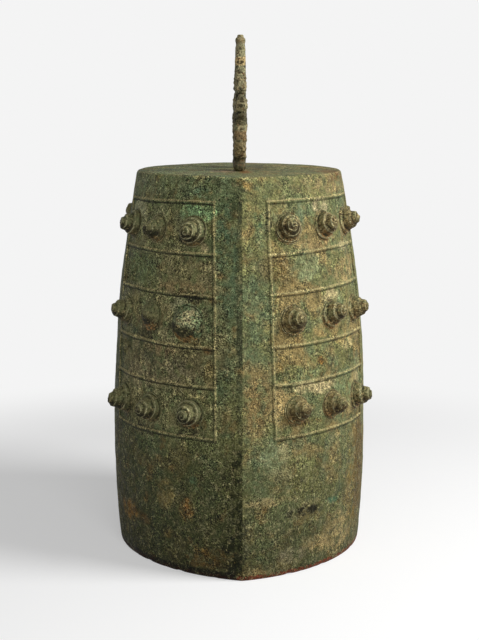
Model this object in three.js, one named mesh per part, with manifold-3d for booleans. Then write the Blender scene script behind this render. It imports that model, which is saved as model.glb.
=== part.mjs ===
// Cast bronze bell with a flat mouth, a flattened body ridged down both sides, and spiral bosses.
// Lengths are millimetres and +Z is up. The origin is the middle of the mouth, in the plane z = 0.
// Y runs from ridge to ridge, the long way of the mouth, and the broad faces look along +X and -X.
// The bell has no clapper: it hangs by its loop and is struck from outside.

import * as THREE from 'three';
import { mergeVertices } from 'three/addons/utils/BufferGeometryUtils.js';
import Module from 'manifold-3d';

const wasm = await Module();
wasm.setup();

// Body: the outside sizes of the mouth and the top, and how far each side line swells between them
const body_height = 715;
const mouth_width = 468;
const mouth_length = 614;
const top_width = 388;
const top_length = 486;
const face_bow = 26;
const ridge_bow = 32;
const wall = 11;
const top_plate = 14;
const top_edge_round = 5;
const lip_wall = 17;
const lip_height = 34;

// Panels: two on each face, framed and divided by raised lines
const panel_top = 667;
const boss_zone = 89;
const pattern_zone = 72;
const ridge_strip_top = 50;
const ridge_strip_bottom = 56;
const middle_strip_top = 60;
const middle_strip_bottom = 104;
const line_height = 2.4;
const line_width = 6;
const line_root = 3;

// Bosses: three rows of three in each panel, each a cone wound as one rising coil
const boss_rows = 3;
const boss_column_shares = [0.175, 0.52, 0.865];
const boss_radius = 27;
const boss_height = 32;
const boss_tip_radius = 2.6;
const boss_edge = 2.4;
const boss_root = 5;
const coil_turns = 4;
const coil_groove = 3;
const coil_swell = 1.5;
const groove_place_share = 0.62;

// Hanging loop: two beasts, foot to foot, that carry a bar between them
const loop_height = 244;
const loop_half_width = 100;
const limb_depth = 27;
const limb_thickness = 22;
const tenon_length = 22;
const tenon_width = 13;
const tenon_depth = 8;
const finial_radius = 10.5;
const finial_height = 13.5;
const eye_radius = 4.5;

// Fits and overruns
const seat_gap = 0.3;
const overrun = 10;
const weld = 0.001;

// Facets
const face_steps = 16;
const height_steps = 8;
const coil_steps = 10;
const limb_steps = 2;

const bronze_green = 0x56624b;
const bronze_tan = 0x7d7356;
const bronze_dark = 0x4b4f3c;

// Turns a closed geometry into a solid that can be joined and cut.
function solid_of(geometry) {
  const bare = geometry.clone();
  bare.deleteAttribute('normal');
  bare.deleteAttribute('uv');
  const merged = mergeVertices(bare, weld);
  return new wasm.Manifold(new wasm.Mesh({
    numProp: 3,
    vertProperties: new Float32Array(merged.attributes.position.array),
    triVerts: new Uint32Array(merged.index.array),
  }));
}

function geometry_of(solid) {
  const mesh = solid.getMesh();
  const geometry = new THREE.BufferGeometry();
  geometry.setAttribute('position', new THREE.BufferAttribute(mesh.vertProperties, 3));
  geometry.setIndex(new THREE.BufferAttribute(mesh.triVerts, 1));
  geometry.computeVertexNormals();
  return geometry;
}

function geometry_from(points, faces) {
  const geometry = new THREE.BufferGeometry().setFromPoints(points);
  geometry.setIndex(faces);
  return geometry;
}

// Joins rings of equal counts into one closed solid, with a fan over each end ring.
// Each ring runs anticlockwise as seen from ahead, looking back along the loft.
function loft(rings) {
  const count = rings[0].length;
  const last = rings.length - 1;
  const points = rings.flat();
  const faces = [];
  for (let start = 0; start < last * count; start += count) {
    for (let i = 0; i < count; i += 1) {
      const a = start + i;
      const b = start + (i + 1) % count;
      faces.push(a, b, b + count, a, b + count, a + count);
    }
  }
  for (const [ring, ahead] of [[0, false], [last, true]]) {
    const middle = new THREE.Vector3();
    rings[ring].forEach((point) => middle.addScaledVector(point, 1 / count));
    const hub = points.push(middle) - 1;
    for (let i = 0; i < count; i += 1) {
      const a = ring * count + i;
      const b = ring * count + (i + 1) % count;
      faces.push(hub, ...(ahead ? [a, b] : [b, a]));
    }
  }
  return solid_of(geometry_from(points, faces));
}

// Half the outside width and length of the body at height z.
function half_sizes(z) {
  const share = z / body_height;
  const swell = 4 * share * (1 - share);
  return {
    half_width: THREE.MathUtils.lerp(mouth_width, top_width, share) / 2 + face_bow * swell,
    half_length: THREE.MathUtils.lerp(mouth_length, top_length, share) / 2 + ridge_bow * swell,
  };
}

// One face of the section at height z is an arc from ridge to ridge. Inset moves it inwards,
// and reach is the angle from the middle of the face to the ridge.
function face_arc(z, inset = 0) {
  const { half_width, half_length } = half_sizes(z);
  const outside = (half_width ** 2 + half_length ** 2) / (2 * half_width);
  const centre = half_width - outside;
  const radius = outside - inset;
  return { centre, radius, outside, reach: Math.acos(-centre / radius) };
}

function section_ring(z, inset) {
  const { centre, radius, reach } = face_arc(z, inset);
  const ring = [];
  for (const side of [1, -1]) {
    for (let i = 0; i < face_steps; i += 1) {
      const angle = reach * (2 * i / face_steps - 1);
      const across = centre + radius * Math.cos(angle);
      ring.push(new THREE.Vector3(side * across, side * radius * Math.sin(angle), z));
    }
  }
  return ring;
}

// The outside of the body as a full solid, grown by a clearance.
function body_outside(clearance) {
  const rings = [];
  const shoulder = body_height - top_edge_round;
  for (let i = 0; i <= height_steps; i += 1) {
    rings.push(section_ring(shoulder * i / height_steps, -clearance));
  }
  rings.push(section_ring(body_height - top_edge_round / 4, top_edge_round / 4 - clearance));
  rings.push(section_ring(body_height, top_edge_round - clearance));
  return loft(rings);
}

// The air space: thinner wall above, thicker lip at the mouth, flat under the top plate.
function body_inside() {
  const ceiling = body_height - top_plate;
  const rings = [section_ring(0, lip_wall), section_ring(lip_height / 2, lip_wall)];
  rings[0].forEach((point) => { point.z -= overrun; });
  const inside_steps = height_steps / 2;
  for (let i = 0; i <= inside_steps; i += 1) {
    rings.push(section_ring(THREE.MathUtils.lerp(lip_height, ceiling, i / inside_steps), wall));
  }
  return loft(rings);
}

// A point on the face that looks along +X: along is the arc length from the middle of the face,
// and out is how far the point stands proud of the wall.
function on_face(z, along, out) {
  const { centre, outside } = face_arc(z);
  const angle = along / outside;
  const radius = outside + out;
  return new THREE.Vector3(centre + radius * Math.cos(angle), radius * Math.sin(angle), z);
}

function outward(z, along) {
  const step = line_width;
  const across = on_face(z, along + step, 0).sub(on_face(z, along - step, 0));
  const ridge_share = along / (face_arc(z).outside * face_arc(z).reach);
  const at_height = (level) => {
    const { outside, reach } = face_arc(level);
    return on_face(level, ridge_share * outside * reach, 0);
  };
  const rise = at_height(z + step).sub(at_height(z - step));
  return across.cross(rise).normalize();
}

// Where the panel's two upright lines stand at height z, as arc lengths from the middle of the face.
const panel_height = boss_rows * boss_zone + (boss_rows - 1) * pattern_zone;
function panel_edges(z) {
  const share = (panel_top - z) / panel_height;
  const { outside, reach } = face_arc(z);
  return {
    inner: THREE.MathUtils.lerp(middle_strip_top, middle_strip_bottom, share),
    outer: outside * reach - THREE.MathUtils.lerp(ridge_strip_top, ridge_strip_bottom, share),
  };
}

// A raised line follows the wall. Its section is a low ridge, widened down to its root in the wall.
const line_foot = line_width * (line_height + line_root) / line_height;
const line_section = [[line_foot / 2, -line_root], [0, line_height], [-line_foot / 2, -line_root]];

// Its rings stand where the wall's own facets meet, so line and wall bend together.
function steps_between(from, to, places) {
  return [from, ...places.filter((place) => place > from && place < to), to];
}

function level_line(z, from, to) {
  const { outside, reach } = face_arc(z);
  const columns = [];
  for (let i = 1; i < face_steps; i += 1) {
    columns.push(outside * reach * (2 * i / face_steps - 1));
  }
  return loft(steps_between(from, to, columns).map((along) => (
    line_section.map(([aside, out]) => on_face(z + aside, along, out))
  )));
}

function upright_line(place) {
  const rows = [];
  for (let i = 1; i < height_steps; i += 1) {
    rows.push((body_height - top_edge_round) * i / height_steps);
  }
  return loft(steps_between(panel_top - panel_height, panel_top, rows).map((z) => (
    line_section.map(([aside, out]) => on_face(z, place(z) - aside, out))
  )));
}

function panel_lines(side) {
  const lines = [
    upright_line((z) => side * panel_edges(z).inner),
    upright_line((z) => side * panel_edges(z).outer),
  ];
  for (let row = 0; row < boss_rows; row += 1) {
    const zone_top = panel_top - row * (boss_zone + pattern_zone);
    for (const z of [zone_top, zone_top - boss_zone]) {
      const { inner, outer } = panel_edges(z);
      const [from, to] = side > 0 ? [inner, outer] : [-outer, -inner];
      lines.push(level_line(z, from, to));
    }
  }
  return wasm.Manifold.union(lines);
}

// The loop's outlines, as rows of shares: out from the middle, up from the top plate, then the depth
// of the limb in the plane of the loop and its thickness across it. The first runs from foot to bar.
const limb_shares = [
  [0.44, -0.06, 0.90, 1.00],
  [0.44, 0.00, 0.94, 1.00],
  [0.47, 0.07, 0.92, 1.00],
  [0.60, 0.15, 1.10, 1.02],
  [0.72, 0.24, 1.24, 1.04],
  [0.74, 0.32, 1.16, 1.04],
  [0.65, 0.395, 0.98, 1.00],
  [0.56, 0.47, 0.92, 1.06],
  [0.53, 0.56, 0.82, 0.98],
  [0.56, 0.64, 1.10, 0.98],
  [0.55, 0.69, 1.00, 0.94],
  [0.53, 0.75, 0.72, 0.88],
  [0.46, 0.85, 0.70, 0.84],
  [0.33, 0.915, 0.70, 0.80],
  [0.16, 0.94, 0.68, 0.78],
  [0.00, 0.94, 0.68, 0.78],
];
const head_shares = [
  [0.50, 0.50, 0.60, 0.90],
  [0.66, 0.51, 1.04, 1.14],
  [0.80, 0.497, 0.86, 1.08],
  [0.92, 0.487, 0.56, 0.86],
  [1.00, 0.515, 0.40, 0.72],
  [0.975, 0.562, 0.30, 0.58],
  [0.91, 0.577, 0.18, 0.40],
];
const jaw_shares = [
  [0.60, 0.45, 0.50, 0.90],
  [0.75, 0.425, 0.44, 0.84],
  [0.87, 0.418, 0.32, 0.70],
  [0.95, 0.43, 0.18, 0.50],
];
const horn_shares = [
  [0.58, 0.54, 0.50, 0.86],
  [0.69, 0.59, 0.44, 0.80],
  [0.77, 0.63, 0.32, 0.66],
  [0.785, 0.67, 0.24, 0.54],
  [0.735, 0.685, 0.14, 0.36],
];
const paw_shares = [
  [0.32, 0.035, 0.40, 0.80],
  [0.46, 0.045, 0.76, 1.06],
  [0.60, 0.040, 0.72, 1.08],
  [0.69, 0.030, 0.54, 0.96],
  [0.74, 0.022, 0.26, 0.60],
];
const tail_shares = [
  [0.60, 0.19, 0.66, 0.86],
  [0.44, 0.225, 0.54, 0.82],
  [0.29, 0.195, 0.46, 0.76],
  [0.22, 0.125, 0.38, 0.70],
  [0.27, 0.07, 0.32, 0.62],
  [0.36, 0.085, 0.24, 0.50],
];
const eye_place_shares = [0.72, 0.535];
const limb_section_shares = [
  [1, 0.45], [0.55, 1], [-0.55, 1], [-1, 0.45],
  [-1, -0.45], [-0.55, -1], [0.55, -1], [1, -0.45],
];
const curl_section_shares = [[1, 0], [0.5, 0.9], [-0.5, 0.9], [-1, 0], [-0.5, -0.9], [0.5, -0.9]];

// A limb lies in the plane of the loop and is lofted along the middle line that its shares give.
function limb(shares, side, section_shares) {
  const places = shares.map(([out, up]) => new THREE.Vector3(
    0,
    side * out * loop_half_width,
    body_height + up * loop_height,
  ));
  const sizes = shares.map(([, , depth, thick]) => new THREE.Vector3(
    depth * limb_depth / 2,
    thick * limb_thickness / 2,
    0,
  ));
  const path = new THREE.CatmullRomCurve3(places);
  const size = new THREE.CatmullRomCurve3(sizes);
  const rings = [];
  const count = (places.length - 1) * limb_steps;
  for (let i = 0; i <= count; i += 1) {
    const middle = path.getPoint(i / count);
    const { x: half_depth, y: half_thickness } = size.getPoint(i / count);
    const ahead = path.getTangent(i / count);
    const normal = new THREE.Vector3(0, -ahead.z, ahead.y);
    rings.push(section_shares.map(([deep, thick]) => middle.clone()
      .addScaledVector(normal, deep * half_depth)
      .add(new THREE.Vector3(thick * half_thickness, 0, 0))));
  }
  return loft(rings);
}

function box(width, length, height, x, y, z) {
  return solid_of(new THREE.BoxGeometry(width, length, height).translate(x, y, z));
}

const foot_place = limb_shares[1][0] * loop_half_width;

function tenon(side, clearance) {
  const top = tenon_depth + top_plate;
  return box(
    tenon_width + 2 * clearance,
    tenon_length + 2 * clearance,
    top + clearance,
    0,
    side * foot_place,
    body_height - tenon_depth - clearance + (top + clearance) / 2,
  );
}

function bell_body() {
  let body = body_outside(0).subtract(body_inside());
  for (const side of [1, -1]) {
    const front = panel_lines(side);
    body = body.add(front).add(front.rotate([0, 0, 180]));
    body = body.subtract(tenon(side, seat_gap));
  }
  return body;
}

// Finial on the bar: a low cap with a small button, as shares of its radius and its height.
const finial_shares = [
  [0, -0.5], [0.8, -0.5], [1, 0.1], [0.86, 0.36], [0.45, 0.5], [0.43, 0.8], [0.25, 1], [0, 1],
];

function finial() {
  const profile = finial_shares.map(([out, up]) => (
    new THREE.Vector2(out * finial_radius, up * finial_height)
  ));
  return solid_of(new THREE.LatheGeometry(profile, coil_steps).rotateX(Math.PI / 2));
}

function suspension_loop() {
  const left = limb_shares.map(([out, ...rest]) => [-out, ...rest]);
  const arch_shares = [...limb_shares, ...left.slice(0, -1).reverse()];
  const pieces = [limb(arch_shares, 1, limb_section_shares)];
  for (const side of [1, -1]) {
    for (const shares of [head_shares, jaw_shares, horn_shares, paw_shares, tail_shares]) {
      pieces.push(limb(shares, side, curl_section_shares));
    }
    const [out, up] = eye_place_shares;
    for (const face of [1, -1]) {
      pieces.push(solid_of(new THREE.IcosahedronGeometry(eye_radius).translate(
        face * limb_thickness / 2,
        side * out * loop_half_width,
        body_height + up * loop_height,
      )));
    }
  }
  const [, bar_up, bar_depth_share] = limb_shares.at(-1);
  const bar_top = body_height + bar_up * loop_height + bar_depth_share * limb_depth / 2;
  pieces.push(finial().translate([0, 0, bar_top]));
  const under = tenon_depth + overrun;
  const below = box(
    limb_thickness * 2,
    loop_half_width * 2,
    under,
    0,
    0,
    body_height + seat_gap - under / 2,
  );
  const standing = wasm.Manifold.union(pieces).subtract(below);
  return standing.add(tenon(1, 0)).add(tenon(-1, 0));
}

// The height of a boss at a radius: a cone with swelling sides.
function boss_profile(radius) {
  return boss_edge + (boss_height - boss_edge) * (1 - (radius / boss_radius) ** coil_swell);
}

// A boss is wound as one coil: a crest and a groove run side by side from the edge to the tip.
// It stands on its own plane z = 0 with a root below, and hand mirrors the way it winds.
function boss_blank(hand) {
  const points = [];
  const add = (turn, radius, z) => {
    const angle = hand * 2 * Math.PI * turn;
    return points.push(new THREE.Vector3(radius * Math.cos(angle), radius * Math.sin(angle), z)) - 1;
  };
  const radius_at = (turn) => THREE.MathUtils.lerp(boss_radius, boss_tip_radius, turn / coil_turns);
  const steps = coil_turns * coil_steps;
  const groove_steps = steps - coil_steps;
  const crest = [];
  const groove = [];
  const foot = [];
  for (let i = 0; i <= steps; i += 1) {
    const radius = radius_at(i / coil_steps);
    crest.push(add(i / coil_steps, radius, boss_profile(radius)));
  }
  for (let i = 0; i <= groove_steps; i += 1) {
    const radius = radius_at(i / coil_steps + groove_place_share);
    groove.push(add(i / coil_steps, radius, boss_profile(radius) - coil_groove));
  }
  for (let i = 0; i < coil_steps; i += 1) {
    foot.push(add(i / coil_steps, boss_radius, -boss_root));
  }
  const tip = add(0, 0, boss_height);
  const under = add(0, 0, -boss_root);
  const faces = [];
  const quad = (a, b, c, d) => faces.push(a, b, c, a, c, d);
  for (let i = 0; i < coil_steps; i += 1) {
    const next = (i + 1) % coil_steps;
    quad(foot[i], foot[next], crest[next], crest[i]);
    faces.push(under, foot[next], foot[i]);
  }
  quad(crest[coil_steps - 1], crest[0], groove[0], crest[coil_steps]);
  for (let i = 0; i < groove_steps; i += 1) {
    quad(crest[i], crest[i + 1], groove[i + 1], groove[i]);
    quad(groove[i], groove[i + 1], crest[i + 1 + coil_steps], crest[i + coil_steps]);
  }
  for (let i = groove_steps; i < steps; i += 1) {
    faces.push(crest[i], crest[i + 1], tip);
  }
  faces.push(crest[steps], groove[groove_steps], tip, groove[groove_steps], crest[groove_steps], tip);
  return solid_of(geometry_from(points, hand > 0 ? faces : faces.reverse()));
}

// Where a boss stands, as the matrix of its own frame on the face that looks along +X.
function boss_frame(z, along) {
  const normal = outward(z, along);
  const aside = new THREE.Vector3(0, 0, 1).cross(normal).normalize();
  const upward = normal.clone().cross(aside);
  return new THREE.Matrix4().makeBasis(aside, upward, normal).setPosition(on_face(z, along, 0));
}

const bell = new THREE.Group();
bell.name = 'bronze_bell';

function finish(color, roughness) {
  return new THREE.MeshStandardMaterial({ color, roughness, metalness: 0.4 });
}

function named_mesh(name, solid, material) {
  const mesh = new THREE.Mesh(geometry_of(solid), material);
  mesh.name = name;
  return mesh;
}

bell.add(named_mesh('bell_body', bell_body(), finish(bronze_green, 0.7)));
bell.add(named_mesh('suspension_loop', suspension_loop(), finish(bronze_tan, 0.75)));

// Each boss is cut to the curve of the wall that it is cast onto. The two panels of a face mirror
// each other, and the back face is the front one turned half round.
const seat = body_outside(seat_gap);
for (const [face_name, turn] of [['front', 0], ['back', Math.PI]]) {
  const face = new THREE.Group();
  face.rotation.z = turn;
  for (const [panel_name, side] of [['left', -1], ['right', 1]]) {
    const blank = boss_blank(side);
    for (let row = 0; row < boss_rows; row += 1) {
      const z = panel_top - boss_zone / 2 - row * (boss_zone + pattern_zone);
      const { inner, outer } = panel_edges(z);
      boss_column_shares.forEach((share, column) => {
        const frame = boss_frame(z, side * THREE.MathUtils.lerp(outer, inner, share));
        const cutter = seat.transform(frame.clone().invert().toArray());
        const name = `boss_${face_name}_${panel_name}_${row + 1}_${column + 1}`;
        const boss = named_mesh(name, blank.subtract(cutter), finish(bronze_dark, 0.72));
        frame.decompose(boss.position, boss.quaternion, boss.scale);
        face.add(boss);
      });
    }
  }
  bell.add(face);
}

export default bell;
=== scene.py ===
"""Cast bronze bell: a flattened body ridged down both sides, spiral bosses and a beast-shaped loop.

Lengths are metres and +Z is up. The origin is the middle of the mouth, Y runs from ridge to ridge,
and the broad faces look along +X and -X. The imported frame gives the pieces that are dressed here.
"""

import math
import random

import bmesh
import bpy
from mathutils import Matrix, Vector, noise


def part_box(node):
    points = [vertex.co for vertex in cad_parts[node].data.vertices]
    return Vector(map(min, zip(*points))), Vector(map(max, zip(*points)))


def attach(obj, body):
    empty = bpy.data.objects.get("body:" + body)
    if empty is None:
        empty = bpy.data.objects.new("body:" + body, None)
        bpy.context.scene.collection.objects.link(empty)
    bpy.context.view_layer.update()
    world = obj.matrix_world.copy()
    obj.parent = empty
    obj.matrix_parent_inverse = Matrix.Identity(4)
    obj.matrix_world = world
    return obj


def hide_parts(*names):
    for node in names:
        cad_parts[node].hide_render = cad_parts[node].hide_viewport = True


bl_info = {
    "name": "Bronze Bell",
    "version": (1, 0, 0),
    "blender": (4, 5, 0),
    "location": "View3D > Sidebar > Bronze Bell",
    "description": "Models a cast bronze bell with spiral bosses and a hanging loop",
    "category": "Add Mesh",
}

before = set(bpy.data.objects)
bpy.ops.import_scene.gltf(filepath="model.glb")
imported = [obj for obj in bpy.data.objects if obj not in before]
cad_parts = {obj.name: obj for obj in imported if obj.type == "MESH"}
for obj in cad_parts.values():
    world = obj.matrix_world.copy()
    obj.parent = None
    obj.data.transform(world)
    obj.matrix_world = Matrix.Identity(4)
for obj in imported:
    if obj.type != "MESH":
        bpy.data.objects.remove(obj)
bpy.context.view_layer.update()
_, body_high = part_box("bell_body")

MM = 0.001


def measure(name, description, default, unit):
    return bpy.props.FloatProperty(name=name, description=description, default=default, unit=unit)


def length(name, description, default):
    return measure(name, description, default, "LENGTH")


def factor(name, description, default, top=1.0):
    return bpy.props.FloatProperty(name=name, description=description, default=default, min=0.0, max=top)


class BellBodySettings(bpy.types.PropertyGroup):
    """Sizes of the cast body and of the raised lines on it."""

    height: length("Height", "Height of the body without its loop", body_high.z)
    mouth_width: length("Mouth width", "Width of the mouth from face to face", 468 * MM)
    mouth_length: length("Mouth length", "Length of the mouth from ridge to ridge", 614 * MM)
    top_width: length("Top width", "Width of the top from face to face", 388 * MM)
    top_length: length("Top length", "Length of the top from ridge to ridge", 486 * MM)
    face_bow: length("Face bow", "How far each face swells between mouth and top", 26 * MM)
    ridge_bow: length("Ridge bow", "How far each ridge swells between mouth and top", 32 * MM)
    wall: length("Wall", "Thickness of the wall", 11 * MM)
    lip_wall: length("Lip wall", "Thickness of the lip round the mouth", 17 * MM)
    lip_height: length("Lip height", "Height of the thicker lip", 34 * MM)
    top_plate: length("Top plate", "Thickness of the top plate", 14 * MM)
    top_round: length("Top edge round", "Radius of the edge round the top plate", 5 * MM)
    rim_round: length("Rim round", "Radius of the edges of the rim", 2.5 * MM)
    panel_top: length("Panel top", "Height of the highest raised line", 667 * MM)
    boss_zone: length("Boss zone", "Height of each zone of bosses", 89 * MM)
    pattern_zone: length("Pattern zone", "Height of each patterned zone", 72 * MM)
    ridge_strip_top: length("Ridge strip at the top", "Plain strip beside the ridge", 50 * MM)
    ridge_strip_bottom: length("Ridge strip at the bottom", "Plain strip beside the ridge", 56 * MM)
    middle_strip_top: length("Middle strip at the top", "Half the strip between panels", 60 * MM)
    middle_strip_bottom: length("Middle strip at the bottom", "Half the strip between panels", 104 * MM)
    line_height: length("Line height", "How far a raised line stands proud", 2.8 * MM)
    line_width: length("Line width", "Width of a raised line at its foot", 9 * MM)
    unevenness: length("Unevenness", "How far the casting wanders from its true shape", 1.5 * MM)
    rim_nicks: length("Rim nicks", "How deep the worn places of the rim are", 2 * MM)


class BellBandSettings(bpy.types.PropertyGroup):
    """Sizes of the patterned bands between the rows of bosses."""

    motif: length("Motif", "Size of one curl", 17 * MM)
    relief: length("Relief", "How far the pattern stands proud where it is fresh", 1.8 * MM)
    turns: factor("Turns", "Turns of one curl", 2.0, 6.0)
    grain: length("Grid spacing", "Spacing of the grid that carries the pattern", 1.1 * MM)
    root: length("Root", "How deep the band's back sits in the wall", 4 * MM)


class BellBossSettings(bpy.types.PropertyGroup):
    """Sizes of the spiral bosses."""

    radius: length("Radius", "Radius of a boss at its foot", 26 * MM)
    height: length("Height", "Height of a boss over the wall", 32 * MM)
    edge: length("Edge", "Height of the outermost coil over the wall", 2.0 * MM)
    root: length("Root", "How deep a boss is sunk in the wall", 5 * MM)
    turns: factor("Turns", "Turns of the coil from foot to tip", 3.4, 8.0)
    wall_share: factor("Wall share", "Share of a coil's width that its steep outer wall takes", 0.5)
    foot_share: factor("Foot share", "Share of its tip's stray that a boss's foot makes", 0.45)
    swell: factor("Swell", "How much the cone swells near its tip", 2.8, 4.0)
    flare: factor("Flare", "How much the cone flares out near its foot", 2.1, 4.0)
    flange: length("Flange", "Width of the low ring of metal round the foot", 4 * MM)
    wear: length("Wear", "How far corrosion has moved the surface", 1.1 * MM)


class BellLoopSettings(bpy.types.PropertyGroup):
    """Sizes of the hanging loop."""

    height: length("Height", "Unit of height of the loop's outline", 244 * MM)
    half_width: length("Half width", "Half the width of the loop", 100 * MM)
    depth: length("Limb depth", "Depth of a limb in the plane of the loop", 27 * MM)
    thickness: length("Limb thickness", "Thickness of a limb across the loop", 22 * MM)
    lean: length("Lean", "How far the loop's top leans over to +X", 2.4 * MM)
    voxel: length("Skin grain", "Grain at which the limbs are grown together", 1.3 * MM)
    scale_size: length("Scale size", "Size of the scales on the legs", 7 * MM)
    scale_relief: length("Scale relief", "How far the scales stand proud", 1.3 * MM)


class BellStageSettings(bpy.types.PropertyGroup):
    """Camera, light and backdrop."""

    distance: length("Distance", "Camera's distance from the bell's axis", 2.757)
    height: length("Height", "Camera's height over the floor", 0.8747)
    aside: length("Aside", "How far the camera stands to the right", 0.0006)
    pitch: measure("Pitch", "Downward tilt", 0.1627, "ROTATION")
    yaw: measure("Yaw", "Turn about the bell", -0.0217, "ROTATION")
    lens: measure("Lens", "Focal length", 80.7, "CAMERA")
    pale: factor("Backdrop", "Brightness of the backdrop", 0.905)
    key_power: measure("Key power", "Power of the key light", 96, "POWER")
    fill_power: measure("Fill power", "Power of the fill light", 24, "POWER")
    ambient: factor("Ambient", "Strength of the light from all round", 0.14)


def body_settings():
    return bpy.context.scene.bell_body


def half_sizes(z):
    """Half the outside width and length of the body at height z."""
    body = body_settings()
    share = z / body.height
    swell = 4 * share * (1 - share)
    width = body.mouth_width + (body.top_width - body.mouth_width) * share
    long = body.mouth_length + (body.top_length - body.mouth_length) * share
    return width / 2 + body.face_bow * swell, long / 2 + body.ridge_bow * swell


def face_arc(z, inset=0.0):
    """One face at height z as an arc: its centre, its radius, and the angle from its middle to the ridge."""
    half_width, half_length = half_sizes(z)
    outside = (half_width**2 + half_length**2) / (2 * half_width)
    centre = half_width - outside
    radius = outside - inset
    return centre, radius, math.acos(-centre / radius)


def on_face(side, z, along, out=0.0):
    """A point on a face: along runs from the middle of the face, and out stands proud of the wall."""
    centre, radius, _ = face_arc(z)
    angle = along / radius
    across = centre + (radius + out) * math.cos(angle)
    return Vector((side * across, side * (radius + out) * math.sin(angle), z))


def facing(side, angle):
    """The level direction that a face looks in at an angle from its middle."""
    return Vector((side * math.cos(angle), side * math.sin(angle), 0))


def outward(side, z, along):
    """The direction that a face looks in at one of its points."""
    step = body_settings().line_width
    _, radius, reach = face_arc(z)
    share = along / (radius * reach)
    across = on_face(side, z, along + step) - on_face(side, z, along - step)

    def at_height(level):
        _, level_radius, level_reach = face_arc(level)
        return on_face(side, level, share * level_radius * level_reach)

    rise = at_height(z + step) - at_height(z - step)
    return across.cross(rise).normalized()


BOSS_ROWS = 3
BOSS_COLUMN_SHARES = (0.175, 0.52, 0.865)

# The panels: their name, the side of the bell and the half of the face.
PANELS = (
    ("front_left", 1, -1),
    ("front_right", 1, 1),
    ("back_left", -1, -1),
    ("back_right", -1, 1),
)


def panel_height():
    body = body_settings()
    return BOSS_ROWS * body.boss_zone + (BOSS_ROWS - 1) * body.pattern_zone


def panel_edges(z):
    """Where the two upright lines of a panel stand at height z, as arc lengths from the face's middle."""
    body = body_settings()
    share = (body.panel_top - z) / panel_height()
    share = min(max(share, 0.0), 1.0)
    _, radius, reach = face_arc(z)
    inner = body.middle_strip_top + (body.middle_strip_bottom - body.middle_strip_top) * share
    strip = body.ridge_strip_top + (body.ridge_strip_bottom - body.ridge_strip_top) * share
    return inner, radius * reach - strip


def line_levels():
    """Heights of the level lines, from the top of the panels down."""
    body = body_settings()
    levels = []
    for row in range(BOSS_ROWS):
        zone_top = body.panel_top - row * (body.boss_zone + body.pattern_zone)
        levels += [zone_top, zone_top - body.boss_zone]
    return levels


def boss_places():
    """Every boss: its name, its side, half, row and column, and its height and arc length.

    The arc length runs from the face's middle. Column 1 is the one next to a ridge.
    """
    body = body_settings()
    for panel_name, side, half in PANELS:
        for row in range(BOSS_ROWS):
            z = body.panel_top - body.boss_zone / 2 - row * (body.boss_zone + body.pattern_zone)
            inner, outer = panel_edges(z)
            for column, share in enumerate(BOSS_COLUMN_SHARES):
                name = f"boss_{panel_name}_{row + 1}_{column + 1}"
                along = half * (outer + (inner - outer) * share)
                yield name, (side, half, row + 1, column + 1), z, along


def smooth_step(low, high, value):
    share = min(max((value - low) / (high - low), 0.0), 1.0)
    return share * share * (3 - 2 * share)


# How far the lines of each panel stray from their true places: each level line's rise beside the
# ridge and beside the middle, from the top line down, and how much wider the ridge strip is at its
# top and at its bottom.
LINE_STRAYS = {
    (1, -1): ((5.0, 0.5, 4.5, 1.5, 6.5, -0.5), (6.0, 5.0, 8.5, 3.5, 7.0, 2.5), (-3.0, 6.0)),
    (1, 1): ((1.0, -2.0, 1.0, 3.0, -1.0, 1.5), (2.0, 0.0, -1.0, 2.0, 1.0, 0.0), (2.0, -2.0)),
    (-1, 1): ((2.5, 2.5, 1.0, 0.5, 3.5, 0.0), (1.0, 3.0, 1.0, -0.5, 1.5, -2.0), (2.0, -5.0)),
    (-1, -1): ((-2.0, 1.5, 2.0, -1.0, 1.0, -1.0), (0.0, 1.0, -2.0, 2.0, 0.0, 1.0), (-2.0, 3.0)),
}
STRAY_FADE = 45 * MM


def panel_lines(side, half, z):
    """Where the two upright lines of one panel really stand at height z."""
    inner, outer = panel_edges(z)
    share = min(max((body_settings().panel_top - z) / panel_height(), 0.0), 1.0)
    at_top, at_bottom = LINE_STRAYS[side, half][2]
    return inner, outer - (at_top + (at_bottom - at_top) * share) * MM


def stray(side, half, z, share):
    """How far the lines pull the casting up or down at a height and a share of the way to the ridge."""
    by_ridge, by_middle, _ = LINE_STRAYS[side, half]
    outward_share = smooth_step(0.3, 0.9, abs(share))
    pulls = [(low + (high - low) * outward_share) * MM for low, high in zip(by_middle, by_ridge)]
    marks = list(zip(line_levels(), pulls))
    marks = [(marks[0][0] + STRAY_FADE, 0.0), *marks, (marks[-1][0] - STRAY_FADE, 0.0)]
    pull = 0.0
    for (upper, above), (lower, below) in zip(marks, marks[1:]):
        if lower < z <= upper:
            pull = below + (above - below) * (z - lower) / (upper - lower)
    return pull * smooth_step(0.0, 0.16, abs(share)) * smooth_step(1.0, 0.93, abs(share))


WANDER_SIZE = 130 * MM
RIPPLE_SIZE = 45 * MM
RIPPLE_SHARE = 0.34
RIPPLE_SHIFT = Vector((7, 3, 1))


def wander(point):
    """How far the casting strays from its true shape at a point."""
    amount = body_settings().unevenness
    ripple = noise.noise_vector(point / RIPPLE_SIZE + RIPPLE_SHIFT) * amount * RIPPLE_SHARE
    return noise.noise_vector(point / WANDER_SIZE) * amount + ripple


def roughness(point, waves):
    """Noise at a point, summed from waves that each have a size and a height."""
    return sum(noise.noise(point / size) * height for size, height in waves)


WELD = 0.01 * MM


def point_grid(columns, rows, *marks):
    """A grid whose points can be placed one by one, with a value on each point for every mark."""
    bm = bmesh.new()
    bmesh.ops.create_grid(bm, x_segments=columns, y_segments=rows, size=1)
    bm.verts.ensure_lookup_table()
    return bm, [bm.verts.layers.float.new(mark) for mark in marks]


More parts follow.
